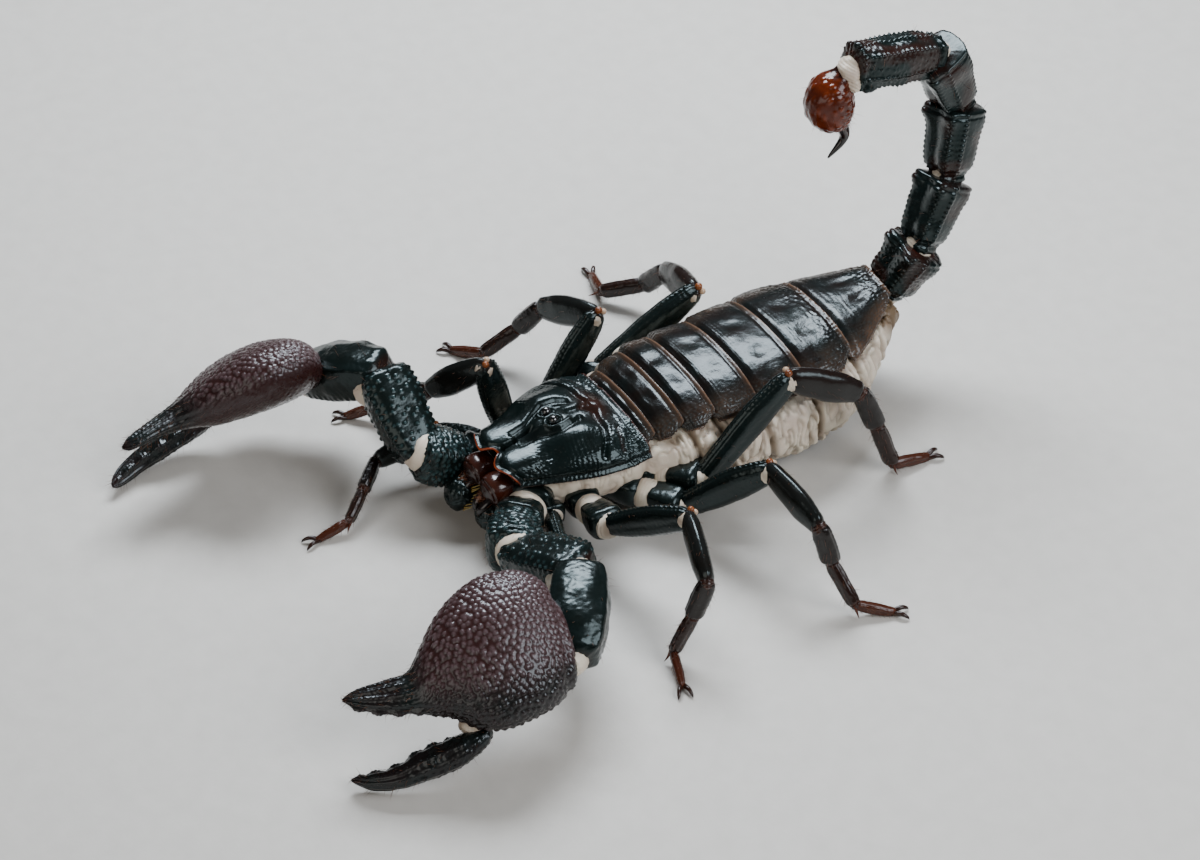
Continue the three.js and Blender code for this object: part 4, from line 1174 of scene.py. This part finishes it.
def collar(centre, way, radius, length, squash=1.0, lumps=0.12):
    """A bulb of joint skin about a joint: a superellipsoid turned along the limb, pleated across it and
    browner towards its ends."""
    t = np.linspace(-0.96, 0.96, 28)
    size = radius * (1 - np.abs(t) ** 2.6) ** (1 / 2.6)
    side = unit(np.cross(way, UP + 1e-3))
    distance = t * length / 2
    line = centre + distance[:, None] * way
    P = rings(line, side, np.cross(side, way), size, squash * size, squash * size, 2.2, 32)
    pleats = 0.05 * np.sin(2 * np.pi * distance / 0.55)[:, None]
    P = raised(P, pleats + lumps * noise(P, 1.6, 11))
    return tube(P, 0.1 + 0.3 * noise(P, 1.8, 12) + 0.6 * ease(np.abs(t), 0.45, 0.9)[:, None])


def mouth_parts():
    """The two granulate lobes that close the mouth from below, and the straw-coloured comb of bristles on
    the edge of one of them."""
    lobes = []
    rows = scaled([[0, 0.9, 0.9, 0.9], [0.5, 1, 1.0, 1], [0.8, 1.05, 1.1, 1.1], [1, 0.95, 1.0, 1.0]], 2.5)
    ends = (((-3.5, -19, 5.6), (-3.1, -31.6, 6.1)), ((4.2, -18, 5.6), (3.6, -29.5, 5.4)))
    for seed, (start, end) in enumerate(ends):
        P, t, _ = segment(np.array(start), np.array(end), rows, (76, 68), ends=(0.1, 0.16))
        lumps = 0.34 * granules(P, 1.2, 110 + seed, 0.45) * ease(t, 0.3, 0.6)
        lobes.append(tube(raised(P, lumps + 0.3 * noise(P, 2.2, 112))))
    make("mouth_lobes", joined(lobes), BLACK)
    share = np.linspace(0, 1, 10)
    roots = np.array([-1.3, -28.0, 7.9]) + share[:, None] * [0.7, -2.1, -3.6]
    ways = unit(np.array([0.55, 0.7, 0.45]) + 0.12 * np.random.default_rng(5).normal(size=(10, 3)))
    surface, uv = bristles(roots, ways, 2.5 - 0.5 * share, np.stack([share, 0 * share], -1), 0.15, 0.0)
    make("mouth_comb", surface, GOLD_HAIR, root_uv=uv)


def comb(side):
    """A comb of the underside: a flat bar with a row of fourteen blunt teeth behind it."""
    root, tip = on_side([2.4, 4.6, 0.75], side), on_side([11.2, 10.0, 0.75], side)
    back = on_side([-1, 1, 1], side) * np.abs(np.cross(UP, unit(tip - root)))
    share = spaced(60)
    width, thick = 0.75 * blunt(share, 0.1, 0.2), np.full(60, 0.36)
    bar = rings(root + share[:, None] * (tip - root), back, UP, width, thick, thick, 3, 24)
    places = root + np.linspace(0.06, 0.97, 14)[:, None] * (tip - root) + 1.15 * back
    tooth = globe((12, 14), (0.28, 0.34, 0.85))
    teeth = repeated(tooth, places, np.linspace(1.05, 0.8, 14), np.tile(back, (14, 1)))
    stand_in(f"pecten_{side}", joined([tube(bar, 0.5), teeth]), CREAM)


# ---- Legs ----


def bend(before, joint, after):
    """At a joint: the way the limb runs through it, and a vector towards the inside of its bend."""
    way = unit(unit(joint - before) + unit(after - joint))
    return way, unit(before - joint) + unit(after - joint)


def leg(name):
    """A leg: a deep femur with a saw edge above, a swollen patella, a foot of three lengths that thins and
    reddens to a pair of claws, joint skin on the inside of the knee, dark rings at the lower joints, and a
    honey knob with a pale one beside it on top of the knee."""
    side, pair = name.split("_")
    lengths, g = LEGS[pair]
    root, turns = LEG_POSES[name]
    line = chain(root, lengths, turns)
    line[5][2] = 0.5  # the toe lies on the floor
    hip, knee, ankle, heel, ball, toe = line
    seed = 200 + 10 * list(LEG_POSES).index(name)
    P, t, _ = segment(hip, knee, scaled(FEMUR, g), (100, 60), ridges=SAW, ends=(0.06, 0.09))
    P = raised(P, 0.08 * granules(P, 0.85, seed, 0.35) + 0.1 * noise(P, 2.6, seed + 1))
    surface = tube(P, 0.5 * ease(t, 0.95, 1.0) + 0.25 * ease(t, 0.04, 0))
    stand_in(f"leg_{name}_femur", surface, BLACK)
    sets = [coat(P, 40, seed, 0.9, 0.8)]

    P, t, _ = segment(knee, ankle, scaled(PATELLA, g), (84, 54), UP, 2.1, SHIN_KEELS, (0.1, 0.09))
    P = raised(P, 0.03 * granules(P, 0.75, seed + 2, 0.4) + 0.12 * noise(P, 2.8, seed + 3))
    brown = 0.35 if pair == "4" else 0.12
    surface = tube(P, 0.5 * ease(t, 0.93, 1) + 0.3 * ease(t, 0.08, 0.02) + brown)
    stand_in(f"leg_{name}_patella", surface, BLACK)
    sets.append(coat(P, 40, seed + 1, 0.9, 0.8))

    parts = []
    feet = zip(line[2:5], line[3:6], FOOT, (0.0, 0.06, 0.32), (40, 60, 80), (1.1, 1.0, 0.8))
    for i, (start, end, rows, red, count, size) in enumerate(feet):
        P, t, _ = segment(start, end, scaled(rows, g), (50, 36), ridges=FOOT_KEELS, ends=(0.08, 0.1))
        relief = 0.08 * noise(P, 1.3, seed + 4 + i) + 0.05 * granules(P, 0.7, seed + 7 + i, 0.4)
        P = above(raised(P, relief), 0.1)
        parts.append(tube(P, red + 0.3 * ease(t, 0.88, 1)))
        sets.append(coat(P, count, seed + 2 + i, size, 0.9))
    ahead, down = unit((toe - ball) * [1, 1, 0]), unit(ball - heel)
    for swing in (-1, 1):
        aside = swing * np.cross(UP, ahead)
        hook = [
            toe - 0.6 * ahead + 0.2 * aside,
            toe + 0.9 * ahead + 0.75 * aside + 0.45 * UP,
            toe + 1.9 * ahead + 1.1 * aside + 0.1 * UP,
            toe + 2.3 * ahead + 1.2 * aside - 0.38 * UP,
        ]
        claw = scaled([[0, 0.42], [0.3, 0.42], [0.7, 0.26], [1, 0.05]], g)
        parts.append(tube(bent(hook, claw, (26, 14)), 0.1))
        spur = ball + 0.15 * down + 0.7 * g * aside
        spine = [spur - 0.5 * down, spur + 0.5 * down - 0.3 * UP, spur + 1.3 * down + 0.3 * aside]
        spine[-1][2] = max(spine[-1][2] - 0.5, 0.15)
        parts.append(tube(bent(spine, [[0, 0.28], [0.5, 0.2], [1, 0.03]], (14, 10)), 0.4))
    for i, size, long in ((2, 1.3, 2.6), (3, 1.12, 1.5), (4, 0.85, 1.5)):
        way, inside = bend(line[i - 1], line[i], line[i + 1])
        ring = collar(line[i] + 0.2 * size * g * inside, way, size * g, long * g, 1.12)
        parts.append({**ring, "tone": 0.12 + 0.25 * ring["tone"]})
    stand_in(f"leg_{name}_foot", joined(parts), BROWN)

    way, inside = bend(hip, knee, ankle)
    wedge = collar(knee + 0.55 * g * inside, way, 1.55 * g, 4.2 * g, 1.15)
    make(f"leg_{name}_collars", wedge, CREAM)
    level = unit(np.cross(way, inside)) * (1 if side == "right" else -1)
    knobs = []
    for shift, size, pale in ((0.62, 0.66, 0.0), (-0.55, 0.56, 0.75)):
        bead = globe((20, 24))
        spot = knee + g * (shift * level - 1.38 * unit(inside))
        knobs.append(repeated({**bead, "tone": bead["tone"] + pale}, [spot], [size * g]))
    make(f"leg_{name}_knobs", joined(knobs), HONEY)
    rusty(f"leg_{name}", sets, 0.035, g)


# ---- Arms and hands ----


def arm(side):
    """An arm: a knobbly trochanter, a flat-faced femur with saw edges and scattered pearls, a smooth
    swollen patella with blunt keels, wedges of joint skin in the bends, then the hand."""
    root, turns, _ = ARM_POSES[side]
    line = chain(root, ARM_LENGTHS, turns)
    seed = 400 if side == "left" else 450
    sets = []
    for i, (part, (rows, ridges, (height, pitch, reach, waves))) in enumerate(ARM.items()):
        start, end = line[i : i + 2]
        P, t, _ = segment(start, end, rows, (124, 116), power=2.7, ridges=ridges, ends=(0.1, 0.1))
        pearls = granules(P, pitch, seed + i, reach)
        relief = height * pearls + waves * noise(P, 2.6, seed + 5 + i) + 0.02 * granules(P, 0.5, seed + 9)
        P = raised(P, relief)
        # The pearls' tops take the painted glint colour.
        surface = tube(P, 0.7 * ease(t, 0.94, 1) + 0.5 * ease(t, 0.06, 0), pearls * (height > 0.1))
        name = f"pedipalp_{side}_{part}"
        stand_in(name, surface, BLACK)
        sets.append(coat(P, 60, seed + 20 + i, 1.3, 0.5))
    wrist = line[-1]
    forward, inward, back = hand_frame(side)
    line = np.vstack([2 * line[0] - line[1], line, wrist + forward])
    elbow, palmward = (2.8, 1.6) if side == "right" else (2.1, 0)
    wedges = ((1, 3.5, 5.5, 0.5), (2, 4.0, 6.0, 1.2), (3, 4.1, 8.6, elbow), (4, 2.9, 5.0, 0.5))
    soft = []
    for i, size, long, out in wedges:
        way, inside = bend(line[i - 1], line[i], line[i + 1])
        place = line[i] + out * inside - (palmward * back if i == 4 else 0)
        soft.append(collar(place, way, size, long, 0.92))
    hinge = wrist + 17.2 * forward - 7.6 * inward - 1.0 * back
    soft.append(collar(hinge, unit(forward + 0.4 * inward), 1.9, 5.6, 0.9))
    make(f"arm_{side}_collars", joined(soft), CREAM)
    hand(side, wrist)
    rusty(f"arm_{side}", sets, 0.04)


def hand_frame(side):
    """The hand's own axes: forward, towards its inner edge, and out of its back."""
    heading, rise, roll = ARM_POSES[side][2]
    forward = direction(heading, rise)
    level = unit(np.cross(UP, forward))
    lifted = np.cross(forward, level)
    level = -level if side == "left" else level
    cos, sin = np.cos(np.radians(roll)), np.sin(np.radians(roll))
    return forward, cos * level + sin * lifted, cos * lifted - sin * level


def hand_grid(rows, wrist, axes, count, ends=(0.02, 0.02)):
    """Rings across a hand or finger by its table of edges, back and palm, with blunt ends."""
    forward, inward, back = axes
    s = spaced(count[0], 0.3)
    distance = rows[0][0] + (rows[-1][0] - rows[0][0]) * s
    inner, outer, top, palm = along(rows, distance)
    centre = (
        wrist
        + distance[:, None] * forward
        + ((inner + outer) / 2)[:, None] * inward
        + ((top + palm) / 2)[:, None] * back
    )
    round_off = blunt(s, *ends)
    half, tall = (inner - outer) / 2 * round_off, (top - palm) / 2 * round_off
    P = rings(centre, inward, back, half, tall, tall, 2.2, count[1])
    return P, distance[:, None], 360 * np.arange(count[1])[None] / count[1]


def biting_edge(distance, shift):
    """The height of lobed teeth 3.1 mm apart, 0.55 * |cos(pi * distance / 3.1)|^1.6, with denticles 0.62 mm
    apart on them."""
    lobes = np.abs(np.cos(np.pi * (distance + shift) / 3.1)) ** 1.6
    return 0.55 * lobes + 0.14 * np.abs(np.cos(np.pi * distance / 0.62))


def hand(side, wrist):
    """The hand and its two fingers. Its back is covered in granules 1.1 mm apart, run together in a maze
    near the wrist and standing apart like pearls along the outer edge. The palm is smooth. The fingers are
    grooved along their length and meet in lobed teeth."""
    axes = hand_frame(side)
    seed = 500 if side == "left" else 550
    P, distance, angle = hand_grid(HAND, wrist, axes, (240, 264), (0.03, 0.04))
    across, tall = np.cos(np.radians(angle)), np.sin(np.radians(angle))
    back = ease(tall, -0.35, 0.15)
    finger = ease(distance, 22, 27)
    outer = ease(-across, 0.25, 0.75)
    maze = bump(distance - 5, 5.5) * ease(across, -0.5, 0.3)
    near, gap, number = cells(P, 1.1, seed)
    dome = (0.6 + 0.4 * number) * np.clip(1 - (near / 0.47) ** 2, 0, 1)
    cobble = ease(gap, 0.02, 0.4) * (0.75 + 0.25 * number)
    grains = dome * (1 - maze) + cobble * maze
    small = granules(P, 0.6, seed + 1, 0.4) * (1 - maze)
    flutes = np.cos(np.radians(angle * 11 + 20 * noise(P, 3.0, seed + 2)))
    teeth = ease(distance, 24, 26) * (1 - ease(distance, 35.4, 36.8))
    teeth = teeth * bump((angle + 180) % 360 - 350, 16)
    on_hand = (
        back * (0.26 * grains + 0.05 * small)
        + (1 - back) * (0.1 * granules(P, 1.3, seed + 3, 0.35) + 0.12 * noise(P, 3.0, seed + 4))
        + 0.2 * noise(P, 6.0, seed + 7)
        + 0.25 * bump(angle - 183, 6) * np.abs(np.cos(np.pi * distance / 1.3))
    )
    on_finger = 0.1 * flutes + 0.07 * granules(P, 0.9, seed + 5, 0.35) + 0.06 * noise(P, 1.5, seed + 6)
    rim = (0.3 * bump(distance - 1.0, 0.5) - 0.35 * bump(distance - 1.9, 0.5)) * back
    relief = (1 - finger) * on_hand + finger * on_finger + teeth * biting_edge(distance, -1) + rim
    P = above(raised(P, relief), 0.05)
    maroon = (1 - finger) * (1 - 0.85 * outer * back) + 0.25 * teeth
    # The back's granules take the painted glint colour, paler tops as painted highlights.
    surface = tube(P, maroon + 0.5 * ease(distance, 35.6, 37), back * grains * maroon)
    stand_in(f"pedipalp_{side}_manus", surface, MAROON)
    sets = [coat(P, 160, seed + 8, 1.2, 0.7, finger + 0.2 * (1 - back))]

    P, distance, angle = hand_grid(FINGER, wrist, axes, (150, 110), (0.06, 0.06))
    flutes = np.cos(np.radians(angle * 9 + 25 * noise(P, 3.0, seed + 10)))
    teeth = ease(distance, 20.5, 22.5) * (1 - ease(distance, 35.4, 36.8))
    teeth = teeth * bump((angle + 180) % 360 - 190, 17)
    relief = (
        0.09 * flutes * ease(distance, 18, 22)
        + 0.16 * granules(P, 1.15, seed + 11, 0.38) * (1 - ease(distance, 24, 34))
        + 0.07 * noise(P, 1.5, seed + 12)
        + teeth * biting_edge(distance, 0.6)
    )
    P = above(raised(P, relief), 0.05)
    maroon = 0.8 * bump((angle + 180) % 360 - 170, 30) * (1 - ease(distance, 19, 24))
    name = f"pedipalp_{side}_movable_finger"
    stand_in(name, tube(P, maroon + 0.5 * ease(distance, 35, 37)), MAROON)
    sets.append(coat(P, 110, seed + 13, 1.2, 0.7))
    rusty(f"hand_{side}", sets, 0.035)


# ---- Tail ----


def tail():
    """Five tail segments, each a flat-sided box that widens to its far end, with beaded keels along its
    edges, a trough down its inner face, knobbed shoulders and a polished neck, and the last with a crest of
    teeth at its far end; then the venom bulb and its sting."""
    x_axis = np.array([1.0, 0, 0])
    joints = chain(TAIL_ROOT, [row[0] for row in TAIL], [row[1:3] for row in TAIL])
    sets = []
    for i, (_, _, _, wide, tall) in enumerate(TAIL):
        start, end = joints[i : i + 2]
        last = i == len(TAIL) - 1
        rows = [[t, w * wide, h * tall, h * tall] for t, w, h in (LAST_BOX if last else TAIL_BOX)]
        inner, outer, middle = 0.36 if i > 1 else 0.24, 0.5 if last else 0.24, 0.5 if last else 0.12
        keels = [(at, 5.0, inner, 0.95) for at in (46, 134)]
        keels += [(at, 5.0, outer, 1.0) for at in (226, 314)]
        keels += [(at, 4.0, 0.34, 0.95) for at in (14, 166)]
        keels += [(270, 5.0, middle, 1.1), *TAIL_TROUGHS]
        upwards = np.cross(x_axis, end - start)
        P, t, angle = segment(start, end, rows, (116, 130), upwards, 2.8, keels, (0.09, 0.06))
        past_neck = 1 - ease(t, 0.17, 0.08)
        shoulder = bump(t - 0.87, 0.08) * (bump(angle - 50, 17) + bump(angle - 130, 17))
        lip = 0.22 * bump(t - 0.945, 0.02) - 0.15 * bump(t - 0.9, 0.02)
        pearls = granules(P, 1.1, 600 + i, 0.33)
        crest = bump(t - 0.93, 0.035) * bump(angle - 270, 55) * np.abs(np.sin(np.radians(9 * angle)))
        rough = (0.16 if i in (0, 4) else 0.04) * pearls + 0.25 * noise(P, 3.0, 610 + i)
        relief = 0.7 * shoulder + rough + lip + 0.75 * last * crest
        P = raised(P, relief * past_neck - 0.3 * bump(t - 0.15, 0.02))
        tone = 0.5 * ease(t, 0.95, 1.0) + 0.6 * ease(noise(P, 4.0, 620 + i), 0.0, 0.5) * past_neck
        # The pearls' tops take the painted glint colour.
        surface = tube(P, tone, 0.2 * pearls * past_neck)
        stand_in(f"tail_{i + 1}", surface, BLACK)
        sets.append(coat(P, 40, 630 + i, 1.5, 0.2, past_neck))
    soft = []
    before = joints[0] - [0, 1, 0]
    for i, row in enumerate(TAIL):
        way, _ = bend(before, joints[i], joints[i + 1])
        soft.append(collar(joints[i], way, 0.61 * row[3], 4.4, 0.98))
        before = joints[i]
    tip = joints[-1]
    line = tip + np.column_stack([np.zeros(len(TELSON)), np.array(TELSON)])
    way = unit(line[1] - tip)
    soft.append(collar(tip + [0.6, 0.1, -0.4], way, 2.4, 4.6, 1.0, 0.6))
    soft.append(collar(tip + [1.6, -0.2, -1.9], way, 1.7, 3.2, 1.0, 0.5))
    make("tail_collars", joined(soft), CREAM)
    rusty("tail", [*sets, *telson(line)], 0.03, droop=0.1)


def telson(line):
    """The venom bulb and sting, as rings square to a smooth curve through the line, with a radius for each
    distance along it. The bulb is sparsely granulate; the sting is smooth and nearly black at its point.
    Returns the bristles of both."""
    run = np.concatenate([[0], np.cumsum(np.linalg.norm(np.diff(line, axis=0), axis=1))])
    table = np.column_stack([run, line])
    grids = []
    for sizes, count, ends in ((BULB, (150, 140), (0.05, 0.03)), (THORN, (90, 48), (0, 0))):
        s = spaced(count[0], 0.4)
        distance = sizes[0][0] + (sizes[-1][0] - sizes[0][0]) * s
        centre = np.stack(along(table, np.maximum(distance, 0)), -1)
        centre = centre + np.minimum(distance, 0)[:, None] * unit(line[1] - line[0])
        axis = unit(np.gradient(centre, axis=0))
        side = unit(np.cross(axis, [0, -1.0, 0]))
        radius = BULB_RADIUS * along(sizes, distance)[0] * blunt(s, *ends)
        up = np.cross(side, axis)
        P = rings(centre, side[:, None], up[:, None], radius, radius, radius, 2.1, count[1])
        grids.append((P, distance[:, None]))
    (bulb, down_bulb), (sting, down_sting) = grids
    lumps = granules(bulb, 1.6, 700, 0.36)
    bulb = raised(bulb, 0.2 * lumps * ease(down_bulb, 1.5, 4) + 0.16 * noise(bulb, 2.8, 701))
    tone = 0.8 * ease(down_bulb, 3.4, 0.8) + 0.7 * ease(down_bulb, 11.5, 13.2)
    tone = tone + 0.35 * ease(noise(bulb, 3.5, 703), 0, 0.6)
    # The lumps' tops take the painted glint colour, a painted highlight.
    stand_in("telson", tube(bulb, tone, 0.5 * lumps), AMBER)
    stand_in("stinger", tube(sting, ease(down_sting, 13, 17.5)), STING)
    hairy = coat(bulb, 60, 704, 1.5, 0.3, ease(down_bulb, 3, 6))
    return [hairy, coat(sting, 10, 705, 0.9, 0.2, ease(down_sting, 16, 13))]


# ---- The studio ----

TARGET = np.array([-2.33, -1.38, 8.0])  # the middle of the view
VIEW_AZIMUTH, VIEW_HEIGHT, VIEW_DISTANCE = 58.4, 42.0, 525.5  # degrees round from the front, degrees up, mm


def studio():
    """A pale floor, three soft boxes and a pale room, and the camera."""
    mesh = bpy.data.meshes.new("floor")
    far = 3.0  # metres to its edges
    mesh.from_pydata([(-far, -far, 0), (far, -far, 0), (far, far, 0), (-far, far, 0)], [], [(0, 1, 2, 3)])
    floor = bpy.data.objects.new("floor", mesh)
    bpy.context.collection.objects.link(floor)
    mesh.materials.append(
        finish(
            "Painted board, matt",
            main="#c6c2bb",
            second="#c6c2bb",
            deep="#c0bcb5",
            rough=(0.55, 0.65),
            bump=[(0.8, 0.02)],
        )
    )
    azimuth, height = np.radians(VIEW_AZIMUTH), np.radians(VIEW_HEIGHT)
    out = np.array([np.sin(azimuth) * np.cos(height), -np.cos(azimuth) * np.cos(height), np.sin(height)])
    data = bpy.data.cameras.new("camera")
    data.lens, data.sensor_width, data.clip_start = 90, 36, 0.05
    camera = bpy.data.objects.new("camera", data)
    bpy.context.collection.objects.link(camera)
    camera.matrix_world = facing(TARGET + VIEW_DISTANCE * out, out)
    bpy.context.scene.camera = camera
    # Name, the way to it from the middle of the view, distance, width, height, watts and tint
    boxes = (
        ("back box", (-0.5, 0.3, 0.81), 430, 290, 150, 3.7, "#eef6ff"),
        ("left box", (0.8, 0.42, 0.78), 560, 360, 300, 2.8, "#f5f9ff"),
        ("front fill", (0.5, -1.0, 0.6), 640, 420, 380, 1.0, "#fff6ec"),
    )
    for name, way, distance, wide, tall, power, tint in boxes:
        lamp = bpy.data.lights.new(name, "AREA")
        lamp.shape, lamp.size, lamp.size_y = "RECTANGLE", wide / 1000, tall / 1000
        lamp.energy, lamp.color = power, colour(tint)[:3]
        light = bpy.data.objects.new(name, lamp)
        bpy.context.collection.objects.link(light)
        light.matrix_world = facing(TARGET + distance * unit(np.array(way)), unit(np.array(way)))
    world = bpy.data.worlds.new("room")
    world.use_nodes = True
    world.node_tree.nodes["Background"].inputs["Color"].default_value = colour("#a9aeb4")
    world.node_tree.nodes["Background"].inputs["Strength"].default_value = 0.22
    bpy.context.scene.world = world


def facing(place, back):
    """A transform in metres, in the frame: at a place, looking along minus back, with no roll."""
    right = unit(np.cross(UP, back))
    up = np.cross(back, right)
    matrix = np.eye(4)
    matrix[:3, 0], matrix[:3, 1], matrix[:3, 2] = right, up, back
    matrix[:3, 3] = (place + TO_FRAME) / 1000
    return Matrix(matrix.tolist())


# ---- Assembly ----

studio()
skin()
carapace()
for plate in range(len(PLATE_REARS)):
    back_plate(plate)
for plate in range(len(BELLY_REARS)):
    belly_plate(plate)
limb_bases()
mouth_parts()
for side in ("left", "right"):
    pincer(side)
    comb(side)
    arm(side)
for name in LEG_POSES:
    leg(name)
tail()
